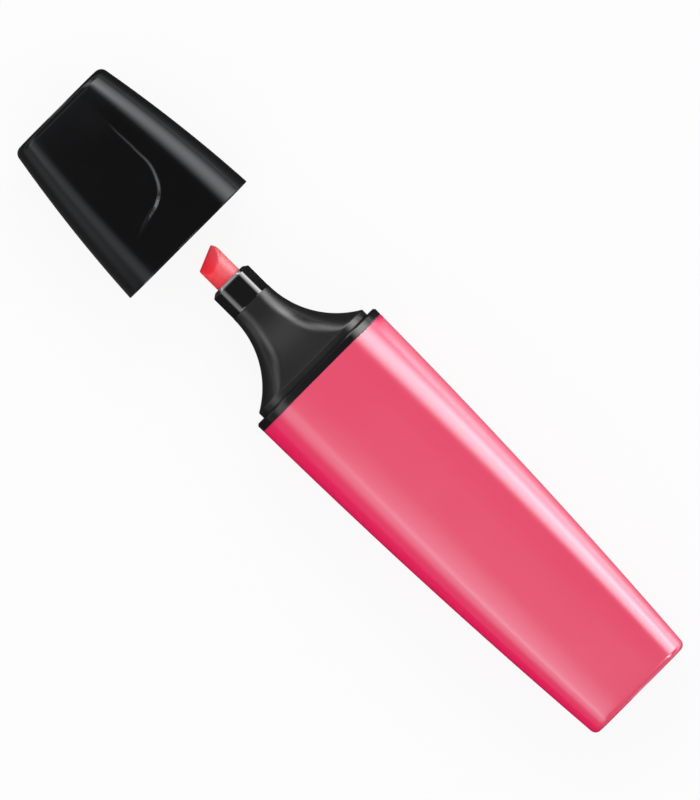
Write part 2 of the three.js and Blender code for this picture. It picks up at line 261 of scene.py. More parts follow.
@dataclass(frozen=True)
class Ring:
    """How many steps a section's outline takes round each corner and along each side."""

    corner: int
    broad: int
    narrow: int

    def template(self) -> tuple[Array, Array, Array]:
        """Outline of a unit section, from the middle of a corner onwards.

        Each point is a share of the section's straight sides plus a unit vector times its corner
        radius: y = p (half width - r) + r cos(a), z = q (half height - r) + r sin(a).

        Returns:
            The shares p and q and the angle a of every point.
        """
        turn = np.arange(self.corner) / self.corner * math.pi / 2
        broad = 1 - 2 * np.arange(self.broad) / self.broad
        narrow = 1 - 2 * np.arange(self.narrow) / self.narrow
        p, q, a = [], [], []
        for quarter, (sign_y, sign_z) in enumerate([(1, 1), (-1, 1), (-1, -1), (1, -1)]):
            across = quarter % 2 == 0
            side = broad if across else narrow
            start, still = quarter * math.pi / 2, np.ones(len(side))
            p += [np.full(self.corner, sign_y), sign_y * (side if across else still)]
            q += [np.full(self.corner, sign_z), sign_z * (still if across else side)]
            a += [start + turn, (start + math.pi / 2) * still]
        return np.concatenate(p).astype(float), np.concatenate(q).astype(float), np.concatenate(a)


class SkinPath:
    """Profile of a closed skin, drawn as one path of sections.

    A point of the path is a place along the axis and a margin out from the base section there.
    Outer walls run towards +X and inner walls towards -X, so that faces point out of the material.
    """

    least_radius = 0.03
    round_share = 0.98

    def __init__(self, base: SectionAt, x: float, margin: float, crown: float = 1.0) -> None:
        """Starts the path.

        Args:
            base: Section that margins count from.
            x: Place along the axis.
            margin: Distance out from the base section.
            crown: Share of the base section's crown to keep.
        """
        self.base, self.x, self.margin, self.crown = base, x, margin, crown
        self.runs: list[Array] = []
        self.go(np.array([x]), np.array([margin]))

    def go(self, x: Array, margin: Array, crown: Array | None = None) -> SkinPath:
        """Appends rows of place, half width, half height, corner radius and crown.

        Args:
            x: Places along the axis.
            margin: Distances out from the base section.
            crown: Shares of the base section's crown to keep, or None for the last one.

        Returns:
            The path itself.
        """
        share = np.full(len(x), self.crown) if crown is None else crown
        rows = np.column_stack([x, self.base(x)])
        rows[:, 1:4] += margin[:, None]
        widest = self.round_share * np.minimum(rows[:, 1], rows[:, 2])
        rows[:, 3] = np.clip(rows[:, 3], self.least_radius, widest)
        rows[:, 4] *= share
        self.runs.append(rows)
        self.x, self.margin, self.crown = float(x[-1]), float(margin[-1]), float(share[-1])
        return self

    def line(
        self,
        x: float | None = None,
        margin: float | None = None,
        steps: int = 6,
        crown: float | None = None,
    ) -> SkinPath:
        """Goes straight to a new place, with closer steps at both ends of the line.

        Args:
            x: New place along the axis, or None to stay.
            margin: New margin, or None to stay.
            steps: Number of steps.
            crown: New share of the crown, or None to stay.

        Returns:
            The path itself.
        """
        starts, targets = (self.x, self.margin, self.crown), (x, margin, crown)
        share = spaced(steps)
        ends = [old if new is None else new for old, new in zip(starts, targets)]
        return self.go(*(old + (new - old) * share for old, new in zip(starts, ends)))

    def even(self, x: float, steps: int) -> SkinPath:
        """Goes along the base section to a new place in equal steps."""
        share = np.linspace(0, 1, steps + 1)[1:]
        return self.go(self.x + (x - self.x) * share, np.full(steps, self.margin))

    def follow(self, base: SectionAt, x: Array) -> SkinPath:
        """Goes on along another base section, without a margin, over given places."""
        self.base = base
        return self.go(x, np.zeros(len(x)))

    def turn(self, x: float, margin: float, heading: Heading, steps: int = 6) -> SkinPath:
        """Goes to a new point round a quarter of an ellipse.

        Args:
            x: Place along the axis where the turn ends.
            margin: Margin where the turn ends.
            heading: Direction in which the turn sets off.
            steps: Number of steps.

        Returns:
            The path itself.
        """
        angle = np.linspace(0, QUARTER, steps + 1)[1:]
        first, second = np.sin(angle), 1 - np.cos(angle)
        if heading is Heading.ACROSS:
            first, second = second, first
        return self.go(
            self.x + (x - self.x) * first, self.margin + (margin - self.margin) * second
        )

    def rebase(self, base: SectionAt, margin: float, steps: int) -> SkinPath:
        """Steps straight to a point out from another base section at the same place.

        Args:
            base: The new base section.
            margin: Margin out from it.
            steps: Number of steps, with closer ones at both ends.

        Returns:
            The path itself.
        """
        last = self.runs[-1][-1]
        self.base = base
        self.go(np.array([self.x]), np.array([margin]))
        target = self.runs.pop()[-1]
        self.runs.append(last + (target - last) * spaced(steps)[:, None])
        return self

    def capped(self, first: int, last: int) -> SkinPath:
        """Closes both ends with flat faces that shrink to poles on the axis.

        Args:
            first: Number of steps of the first face.
            last: Number of steps of the last face.

        Returns:
            The path itself.
        """
        growing = np.sin(np.linspace(0, QUARTER, first + 1)[1:-1])
        shrinking = np.cos(np.linspace(0, QUARTER, last + 1)[1:-1])
        faces = []
        for row, share in ((self.runs[0][0], growing), (self.runs[-1][-1], shrinking)):
            faces.append(np.tile(row, (len(share), 1)))
            faces[-1][:, 1:4] *= share[:, None]
        self.runs = [faces[0], *self.runs, faces[1]]
        return self

    def rows(self) -> Array:
        """All rows of the path."""
        return np.concatenate(self.runs)


@dataclass
class Skin:
    """Closed surface on a grid of two parameters: along a path of sections, and round the axis."""

    rows: Array
    ring: Ring
    sleeve: bool
    centre_y: Array | float = 0.0
    centre_z: Array | float = 0.0
    plane_half: float = 3.3
    crown_radius: float = 60.0

    def centres(self) -> tuple[Array, Array]:
        """Where each section's centre lies, across and up."""
        count = len(self.rows)
        return np.broadcast_to(self.centre_y, count), np.broadcast_to(self.centre_z, count)

    def points(self) -> Array:
        """Grid of points in millimetres, one row of the grid for each section.

        Every section's outline is y = p (half width - r) + r cos(a), z = q (half height - r)
        + r sin(a), with the shares p, q and the angle a of the ring's template. A crowned section
        is then drawn in towards its mid plane past the plane middle of its broad faces, by the
        square of the distance past it over twice the crown's radius, as a share of its height.

        Returns:
            Array of rows by ring points by three coordinates.
        """
        p, q, a = self.ring.template()
        x, width, height, radius, crown = (column[:, None] for column in self.rows.T)
        centre_y, centre_z = (centre[:, None] for centre in self.centres())
        y = p * (width - radius) + radius * np.cos(a)
        z = q * (height - radius) + radius * np.sin(a)
        past = np.clip(np.abs(y) - self.plane_half, 0, None)
        z *= 1 - crown * past**2 / (2 * self.crown_radius * height)
        return np.stack([np.broadcast_to(x, y.shape), centre_y + y, centre_z + z], axis=-1)

    def faces(self) -> list[list[int]]:
        """Quads between neighbouring sections, with a fan over each end unless it is a sleeve.

        Returns:
            Lists of vertex numbers, wound so that faces point out.
        """
        count, ring = len(self.rows), len(self.ring.template()[0])
        i = np.arange(count if self.sleeve else count - 1)[:, None]
        around = np.arange(ring)
        after, ahead = (around + 1) % ring, (i + 1) % count
        corners = [i * ring + around, i * ring + after, ahead * ring + after, ahead * ring + around]
        faces = np.stack(corners, axis=-1).reshape(-1, 4).tolist()
        if not self.sleeve:
            last, pole = (count - 1) * ring, count * ring
            faces += np.stack([np.full(ring, pole), after, around], -1).tolist()
            faces += np.stack([last + around, last + after, np.full(ring, pole + 1)], -1).tolist()
        return faces

    def poles(self) -> Array:
        """The two end points on the section's centre, or none for a sleeve."""
        if self.sleeve:
            return np.zeros((0, 3))
        y, z = self.centres()
        return np.array([[self.rows[k, 0], y[k], z[k]] for k in (0, -1)])

    def lean(self) -> Array:
        """How far each face leans from the broad faces, 0 on those and 1 on the narrow sides.

        It is the cosine of the ring's angle, times the share of the path that runs along the axis,
        so that it is 0 on the faces across the axis too.

        Returns:
            One value for each point of the grid.
        """
        along, across = np.abs(np.gradient(self.rows[:, :2], axis=0)).T
        share = (along + TINY) / (np.hypot(along, across) + TINY)
        return share[:, None] * np.abs(np.cos(self.ring.template()[2]))


def mesh_from(name: str, points: Array, faces: list[list[int]]) -> Mesh:
    """Smooth mesh from points and faces.

    Args:
        name: Name of the mesh.
        points: Vertices in the frame, in metres.
        faces: Vertex numbers of each face.

    Returns:
        The mesh.
    """
    mesh = bpy.data.meshes.new(name)
    mesh.from_pydata(points.tolist(), [], faces)
    mesh.polygons.foreach_set("use_smooth", np.ones(len(mesh.polygons), dtype=bool))
    mesh.update()
    mesh.validate()
    return mesh


def linked(name: str, data: bpy.types.ID) -> Object:
    """New object of some data, in the scene."""
    thing = bpy.data.objects.new(name, data)
    bpy.context.scene.collection.objects.link(thing)
    return thing


# ---------------------------------------------------------------- node trees


class Tree:
    """Short calls that fill the node tree of a material, a world or a lamp."""

    def __init__(self, owner: bpy.types.ID) -> None:
        """Empties the owner's node tree."""
        owner.use_nodes = True
        self.owner = owner
        self.nodes, self.links = owner.node_tree.nodes, owner.node_tree.links
        self.nodes.clear()

    def add(self, kind: str, settings: dict[str, str] | None = None, **inputs: object) -> Node:
        """Adds a node.

        Args:
            kind: Type of node, without its ShaderNode prefix.
            settings: Properties of the node itself.
            **inputs: Values or sockets for its inputs. An underscore stands for a space, and a
                name such as input_1 for the input with that number.

        Returns:
            The node.
        """
        node = self.nodes.new("ShaderNode" + kind)
        for key, value in (settings or {}).items():
            setattr(node, key, value)
        for key, value in inputs.items():
            numbered = key.startswith("input_")
            place = int(key.removeprefix("input_")) if numbered else key.replace("_", " ")
            socket = node.inputs[place]
            if isinstance(value, Socket):
                self.links.new(value, socket)
            else:
                socket.default_value = value
        return node

    def position(self) -> Socket:
        """Object coordinates, which are places in the frame."""
        return self.add("TexCoord").outputs["Object"]

    def math(self, operation: str, first: object, second: object = 0.0) -> Socket:
        """Result of a Math node."""
        return self.add("Math", {"operation": operation}, input_0=first, input_1=second).outputs[0]

    def mean(self, first: object, second: object, share: float) -> Socket:
        """Weighted mean of two values, with a share for the first."""
        weighted = self.math("MULTIPLY", first, share)
        return self.math("ADD", weighted, self.math("MULTIPLY", second, 1 - share))

    def noise(self, at: object, scale: float, detail: float = 3.0, rough: float = 0.5) -> Socket:
        """Factor of a Noise texture."""
        node = self.add("TexNoise", Vector=at, Scale=scale, Detail=detail, Roughness=rough)
        return node.outputs["Fac"]

    def span(
        self, value: object, low: float, high: float, start: float = 0.0, end: float = 1.0
    ) -> Socket:
        """Value mapped evenly from start..end to low..high, and held at those."""
        limits = {"From_Min": start, "From_Max": end, "To_Min": low, "To_Max": high}
        return self.add("MapRange", Value=value, **limits).outputs[0]

    def blend(self, share: object, first: object, second: object, how: str = "MIX") -> Socket:
        """Blend of two colours."""
        settings = {"data_type": "RGBA", "blend_type": how}
        return self.add("Mix", settings, input_0=share, input_6=first, input_7=second).outputs[2]

    def stretched_noise(self, along: float, across: float, detail: float, rough: float) -> Socket:
        """Noise with other cells per metre along the axis than across it."""
        places = self.add("Mapping", Vector=self.position(), Scale=(along, across, across))
        return self.noise(places.outputs[0], 1.0, detail, rough)

    def bump(self, *layers: tuple[object, float]) -> Socket:
        """Normal of Bump nodes on top of each other, each of a height and its depth in metres."""
        below: dict[str, object] = {}
        for height, depth in layers:
            node = self.add("Bump", Height=height, Distance=depth, Strength=1.0, **below)
            below = {"Normal": node.outputs[0]}
        return below["Normal"]

    def glow(self, strength: object) -> Node:
        """White Emission node."""
        return self.add("Emission", Color=WHITE, Strength=strength)

    def shown_by(self, shader: Node, output: str = "OutputMaterial") -> bpy.types.ID:
        """Joins a shader to a new output node and returns the tree's owner."""
        self.links.new(shader.outputs[0], self.add(output).inputs[0])
        return self.owner

    def principled(self, **inputs: object) -> Material:
        """Adds the Principled shader and returns the finished material."""
        return self.shown_by(self.add("BsdfPrincipled", **inputs))


def material_tree(name: str) -> Tree:
    """Node tree of a new material."""
    return Tree(bpy.data.materials.new(name))


def rgb(*parts: int) -> Colour:
    """Scene colour of a display colour given in parts of 255."""

    def linear(part: int) -> float:
        """Scene value of one part, by the sRGB curve."""
        value = part / 255
        return value / 12.92 if value <= 0.04045 else ((value + 0.055) / 1.055) ** 2.4

    return (*map(linear, parts), 1.0)


def shaded(colour: Colour, factor: float) -> Colour:
    """The colour made darker or lighter by a factor."""
    return (*(part * factor for part in colour[:3]), colour[3])


# ---------------------------------------------------------------- finishes


@dataclass(frozen=True)
class MouldedPlastic:
    """Dyed plastic from a polished or a grained mould.

    Scales are cells per metre and depths are metres. Spans are the values of noise, or of the lean,
    between which something changes.
    """

    name: str
    colour: Colour
    roughness: float
    roughness_play: float
    specular: float
    tone_play: float = 0.1
    coat: float = 0.0
    coat_roughness: float = 0.16
    ripple_scale: float = 300.0
    ripple_depth: float = 3e-6
    grain_scale: float = 5600.0
    grain_depth: float = 5e-7
    cloud_scale: float = 90.0
    cloud_share: float = 0.6
    painted_light_colour: Colour | None = None
    painted_light_span: Pair = (0.28, 0.75)
    painted_light_drift: float = 0.05
    gloss_tint: Colour = WHITE

    def material(self) -> Material:
        """Builds the material.

        Colour drifts a little over slow noise, and goes over to a painted light colour on the
        flanks, or wherever the lean is high, if one is given: painted shade on the barrel's flanks
        and a painted highlight on the nose's bevel. Roughness follows cloudy noise with fine
        specks.
        Bump is a long ripple, as a mould leaves, with fine grain on top.

        Returns:
            The material.
        """
        tree = material_tree(self.name)
        position = tree.position()
        cloud = tree.noise(position, self.cloud_scale, detail=4.0)
        dark, light = (shaded(self.colour, 1 + side * self.tone_play) for side in (-1, 1))
        tone = tree.blend(cloud, dark, light)
        # Painted light: where the lean is high the tone goes over to the painted light colour.
        if self.painted_light_colour is not None:
            lean = tree.add("Attribute", {"attribute_name": LEAN}).outputs["Fac"]
            lean = tree.math("ADD", lean, tree.span(cloud, -self.painted_light_drift, self.painted_light_drift))
            painted_light_share = tree.span(lean, 0.0, 1.0, *self.painted_light_span)
            tone = tree.blend(painted_light_share, tone, self.painted_light_colour)
        specks = tree.noise(position, self.grain_scale, detail=2.0, rough=0.7)
        wear = tree.mean(cloud, specks, self.cloud_share)
        low, high = self.roughness - self.roughness_play, self.roughness + self.roughness_play
        ripple = tree.noise(position, self.ripple_scale, detail=2.0)
        return tree.principled(
            Base_Color=tone,
            Roughness=tree.span(wear, low, high, *NOISE_SPAN),
            Specular_IOR_Level=self.specular,
            Specular_Tint=self.gloss_tint,
            Coat_Weight=self.coat,
            Coat_Roughness=self.coat_roughness,
            Normal=tree.bump((ripple, self.ripple_depth), (specks, self.grain_depth)),
        )


@dataclass(frozen=True)
class PaintedFeltLight:
    """Painted light on the nib's felt: a painted highlight across its width, less so on the facets,
    in metres.

    The facets start at the line x + slope y = start, and behind it the felt is darker by the shade,
    which is painted shade.
    """

    # Colour of the painted highlight on the felt's paler side.
    colour: Colour = rgb(240, 142, 150)
    highlight_start_y: float = 0.0006
    highlight_full_y: float = -0.0026
    highlight_drift: float = 0.0003
    facet_slope: float = 0.418
    facet_start: float = 0.0306
    facet_soft: float = 0.0002
    facet_share: float = 0.4
    shade: Colour = (0.8, 0.8, 0.8, 1.0)

    def over(self, tree: Tree, tone: Socket, position: Socket, patch: Socket) -> Socket:
        """Goes over from a tone to the painted highlight colour, with painted shade behind the
        facets.

        Args:
            tree: Node tree of the felt.
            tone: Colour of the wet felt.
            position: Places in the frame.
            patch: Noise that the painted highlight's edge follows.

        Returns:
            The colour of the felt.
        """
        x, y, _ = tree.add("SeparateXYZ", input_0=position).outputs
        # Painted highlight: paler towards -Y, the side where the key light stands.
        side = tree.math("ADD", y, tree.span(patch, -self.highlight_drift, self.highlight_drift))
        across = tree.span(side, 1.0, 0.0, self.highlight_full_y, self.highlight_start_y)
        slanted = tree.math("ADD", x, tree.math("MULTIPLY", y, self.facet_slope))
        line = (self.facet_start - self.facet_soft, self.facet_start + self.facet_soft)
        behind = tree.span(slanted, 1.0, 0.0, *line)
        highlight_share = tree.math("MULTIPLY", across, tree.span(behind, self.facet_share, 1.0))
        tone = tree.blend(highlight_share, tone, self.colour)
        # Painted shade: the felt behind the facet line is multiplied by the shade.
        return tree.blend(behind, tone, self.shade, "MULTIPLY")


@dataclass(frozen=True)
class InkedFelt:
    """Bonded fibre soaked with ink, with its fibres along the axis.

    Scales are cells per metre and depths are metres. Sheen and moisture are a weight and a
    roughness each, and the glow is emission that paints extra light on the felt, for the
    brightness of fluorescent ink.
    """

    name: str
    colour: Colour
    wet_colour: Colour
    roughness: float = 0.5
    roughness_span: Pair = (-0.12, 0.14)
    strands_along: float = 700.0
    strands_across: float = 7000.0
    strand_depth: float = 2e-5
    strand_share: float = 0.55
    pore_scale: float = 6500.0
    pore_depth: float = 1.5e-5
    pore_tone: float = 0.3
    patch_scale: float = 420.0
    soak_span: Pair = (0.35, 0.65)
    pore_span: Pair = (0.35, 0.75)
    pore_shade: float = 0.85
    sheen: Pair = (0.15, 0.5)
    moisture: Pair = (0.25, 0.35)
    # The glow colour and glow paint light: emission that brightens the felt, though it is no lamp.
    painted_glow_colour: Colour = (1.0, 0.02, 0.04, 1.0)
    glow: float = 0.0
    felt_light_paint: PaintedFeltLight | None = None

    def material(self) -> Material:
        """Builds the material.

        Strands are noise stretched along the axis, and pores are cell noise. Both darken the colour
        in their hollows, raise the roughness there and drive the bump.

        Returns:
            The material.
        """
        tree = material_tree(self.name)
        strands = tree.stretched_noise(self.strands_along, self.strands_across, 4.0, 0.6)
        position = tree.position()
        cells = {"Vector": position, "Scale": self.pore_scale, "Smoothness": 0.6}
        pores = tree.add("TexVoronoi", {"feature": "SMOOTH_F1"}, **cells).outputs["Distance"]
        patch = tree.noise(position, self.patch_scale)
        soaked = tree.mean(strands, patch, self.strand_share)
        soaked = tree.span(soaked, 0.0, 1.0, *self.soak_span)
        tone = tree.blend(soaked, self.wet_colour, self.colour)
        hollows = tree.span(pores, 0.0, self.pore_tone, *self.pore_span)
        tone = tree.blend(hollows, tone, shaded(self.wet_colour, self.pore_shade))
        # Painted highlight and painted shade on the felt, where given.
        if self.felt_light_paint is not None:
            tone = self.felt_light_paint.over(tree, tone, position, patch)
        low, high = (self.roughness + part for part in self.roughness_span)
        return tree.principled(
            Base_Color=tone,
            Roughness=tree.span(strands, low, high, *NOISE_SPAN),
            Coat_Weight=self.moisture[0],
            Coat_Roughness=self.moisture[1],
            Sheen_Weight=self.sheen[0],
            Sheen_Roughness=self.sheen[1],
            Emission_Color=self.painted_glow_colour,
            Emission_Strength=self.glow,
            Normal=tree.bump((strands, self.strand_depth), (pores, -self.pore_depth)),
        )


@dataclass(frozen=True)
class WrapFilm:
    """Clear film wrapped round the ink reservoir, cloudy in places."""

    name: str
    colour: Colour
    haze: Pair = (0.12, 0.3)
    wrinkles_along: float = 900.0
    wrinkles_across: float = 160.0
    wrinkle_depth: float = 3e-5
    shade: float = 0.92
    clearness: float = 0.6

    def material(self) -> Material:
        """Builds the material, whose haze and wrinkles are noise stretched round the axis."""
        tree = material_tree(self.name)
        wrinkles = tree.stretched_noise(self.wrinkles_along, self.wrinkles_across, 3.0, 0.5)
        return tree.principled(
            Base_Color=tree.blend(wrinkles, shaded(self.colour, self.shade), self.colour),
            Roughness=tree.span(wrinkles, *self.haze, *NOISE_SPAN),
            Transmission_Weight=self.clearness,
            Normal=tree.bump((wrinkles, self.wrinkle_depth)),
        )


# The painted light colour here is painted shade: the barrel's narrow sides are coloured darker and
# deeper pink than its broad faces.
BARREL_PINK = MouldedPlastic(
    name="fluorescent_plastic",
    colour=rgb(238, 68, 104),
    painted_light_colour=rgb(250, 14, 94),
    gloss_tint=rgb(150, 250, 255),
    roughness=0.21,
    roughness_play=0.02,
    specular=1.08,
    tone_play=0.012,
    coat=0.1,
    ripple_scale=260.0,
    ripple_depth=4e-6,
    grain_scale=5200.0,
    grain_depth=6e-7,
)
COLLAR_BLACK = MouldedPlastic("gloss_black_collar", rgb(24, 22, 24), 0.15, 0.03, 0.5)
# The painted light colour here is a painted highlight: pale grey on the nose's front bevel.
NOSE_BLACK = MouldedPlastic(
    name="gloss_black_nose",
    colour=rgb(24, 24, 25),
    painted_light_colour=rgb(128, 128, 130),
    roughness=0.07,
    roughness_play=0.015,
    specular=1.35,
    ripple_depth=1e-6,
    grain_depth=2e-7,
)
SATIN_BLACK = MouldedPlastic(
    name="satin_black_plastic",
    colour=rgb(32, 32, 33),
    roughness=0.25,
    roughness_play=0.04,
    specular=0.45,
    tone_play=0.08,
    ripple_depth=4e-6,
    grain_scale=7000.0,
    grain_depth=6e-6,
)
CAP_BLACK = MouldedPlastic(
    name="gloss_black_cap",
    colour=rgb(13, 13, 14),
    gloss_tint=rgb(246, 250, 255),
    roughness=0.19,
    roughness_play=0.02,
    specular=0.28,
    ripple_scale=240.0,
)
# The nib's painted light paints a highlight towards -Y and shade behind the facets.
NIB_FELT = InkedFelt("nib_fibre", rgb(230, 22, 44), rgb(226, 14, 40), glow=0.28, felt_light_paint=PaintedFeltLight())
RESERVOIR_FELT = InkedFelt("reservoir_fibre", rgb(246, 100, 140), rgb(232, 50, 96), roughness=0.7)
FILM = WrapFilm("clear_film", rgb(242, 242, 240))


# ---------------------------------------------------------------- the pen


@dataclass
class Part:
    """What the pieces share: where they lie, and how they come into the scene."""

    places: Places
    body = Body.PEN

    def placed(self, points: Array) -> Array:
        """Points about the axis, in millimetres, at their place in the frame, in metres."""
        start = self.places.shoulder if self.body is Body.PEN else self.places.rim
        return points * MM + np.array([start, 0.0, self.places.axis_height])

    def skinned(
        self, name: str, skin: Skin, grid: Array | None = None, lean: Array | None = None
    ) -> Mesh:
        """Mesh of a skin, with its lean kept as a point attribute.

        Args:
            name: Name of the mesh.
            skin: The skin.
            grid: The skin's points where they have been changed, or None.
            lean: Other values to keep as the lean, or None.

        Returns:
            The mesh.
        """
        grid = skin.points() if grid is None else grid
        lean = skin.lean() if lean is None else lean
        poles = skin.poles()
        vertices = np.concatenate([grid.reshape(-1, 3), poles])
        mesh = mesh_from(name, self.placed(vertices), skin.faces())
        values = np.concatenate([lean.ravel(), np.zeros(len(poles))]).astype(np.float32)
        mesh.attributes.new(LEAN, "FLOAT", "POINT").data.foreach_set("value", values)
        return mesh

    def show(self, name: str, mesh: Mesh, finish: Material, slot: Slot, *stands_for: str) -> None:
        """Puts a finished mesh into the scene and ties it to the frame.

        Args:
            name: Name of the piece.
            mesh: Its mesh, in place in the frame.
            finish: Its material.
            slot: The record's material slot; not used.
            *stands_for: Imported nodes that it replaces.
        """
        mesh.materials.append(finish)
        piece = linked(name, mesh)
        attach(piece, self.body.value)
        if stands_for:
            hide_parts(*stands_for)
        LOG.info("%s: %d faces, rides on %s", name, len(mesh.polygons), self.body.value)


@dataclass
class Barrel(Part):
    """Moulded body: a flat tapered cup, closed at the tail, with a snap groove inside its mouth."""

    mouth_width: float = 27.1
    tail_width: float = 20.7
    crown: float = 0.63
    plane_length: float = 45.0
    drop: float = 1.0
    mouth_radius: float = 7.2
    tail_radius: float = 3.7
    tail_round: float = 1.05
    wall: float = 1.5
    tail_wall: float = 2.0
    inner_round: float = 0.4
    lip: float = 0.07
    groove_depth: float = 0.3
    groove_length: float = 1.2
    groove_setback: float = 4.0
    rows_along: int = 64
    rows_inside: int = 24
    ring: Ring = Ring(corner=16, broad=20, narrow=10)

    def outline(self) -> Taper:
        """The barrel's outer sections, which the collar shares."""
        return Taper(
            -self.places.tail,
            self.mouth_width,
            self.tail_width,
            self.crown,
            self.plane_length,
            self.drop,
            self.mouth_radius,
            self.tail_radius,
            crowning=1.0,
        )

    def build(self) -> Mesh:
        """Draws the cup from the tail's pole out to the mouth and back inside.

        Returns:
            The mesh.
        """
        tail, mouth = self.places.tail, self.places.mouth
        edge, lip, wall, inner = self.tail_round, self.lip, -self.wall, self.inner_round
        groove, floor = mouth - self.groove_setback, tail + self.tail_wall
        half, third = self.groove_length / 2, self.groove_length / 6
        path = SkinPath(self.outline(), tail, -edge)
        path.turn(tail + edge, 0.0, Heading.ACROSS, 10)
        path.even(mouth - 3 * lip, self.rows_along).line(x=mouth - lip, steps=2)
        path.turn(mouth, -lip, Heading.ALONG, 4).line(margin=wall + lip, crown=0.0)
        path.turn(mouth - lip, wall, Heading.ACROSS, 4)
        path.line(x=groove + half, steps=3).line(groove + third, wall + self.groove_depth, 2)
        path.line(x=groove - third, steps=2).line(groove - half, wall, 2)
        path.even(floor + inner, self.rows_inside).turn(floor, wall - inner, Heading.ALONG, 4)
        path.capped(first=8, last=6)
        return self.skinned("barrel", Skin(path.rows(), self.ring, sleeve=False))

    def dress(self) -> None:
        """Adds the barrel in fluorescent plastic."""
        mesh, finish = self.build(), BARREL_PINK.material()
        self.show("barrel_body", mesh, finish, Slot.FLUORESCENT, "barrel")


@dataclass
class Collar(Part):
    """Gloss band between barrel and grip, with a plug that snaps into the barrel."""

    barrel: Barrel
    seat_gap: float = 0.01
    fit_gap: float = 0.15
    chamfer: float = 0.32
    wall: float = 1.2
    bead_height: float = 0.3
    corner: float = 5.9
    crown_share: float = 0.3
    soft: float = 0.04

    def plug(self) -> Section:
        """Outer section of the plug, which suits the tapering cavity at the plug's back end."""
        inset = -self.barrel.wall - self.fit_gap
        deep = self.barrel.outline().at(self.places.collar_back).grown(inset)
        return Section(deep.half_width, deep.half_height, self.corner)

    def build(self) -> Mesh:
        """Draws the flange, its front chamfer, the opening, and the plug with its bead.

        Returns:
            The mesh.
        """
        barrel, outline, soft, cut = self.barrel, self.barrel.outline(), self.soft, self.chamfer
        back, plug = self.places.mouth + self.seat_gap, self.plug()
        bead = self.places.mouth - barrel.groove_setback
        half, third = barrel.groove_length / 2, barrel.groove_length / 6
        bend, sink = soft * 0.6, soft * 0.7
        path = SkinPath(outline, back, -soft, self.crown_share)
        path.turn(back + soft, 0.0, Heading.ACROSS, 3).line(x=-cut - soft)
        path.line(-cut + bend, -sink, 3).line(-sink, -cut + bend, 4)
        path.line(0.0, -cut - soft, 3).line(margin=-cut - 4 * soft, steps=2)
        path.rebase(plug, -self.wall + soft, 10).turn(-soft, -self.wall, Heading.ACROSS, 3)
        path.line(x=self.places.collar_back, steps=8).line(margin=0.0, steps=4)
        path.line(x=bead - half, steps=3).line(bead - third, self.bead_height, 2)
        path.line(x=bead + third, steps=2).line(bead + half, 0.0, 2).line(x=back, steps=3)
        path.rebase(outline, -3 * soft, 8)
        return self.skinned("collar", Skin(path.rows(), barrel.ring, sleeve=True))

    def dress(self) -> None:
        """Adds the collar in gloss black plastic."""
        mesh, finish = self.build(), COLLAR_BLACK.material()
        self.show("collar_band", mesh, finish, Slot.GLOSS_BLACK, "collar")


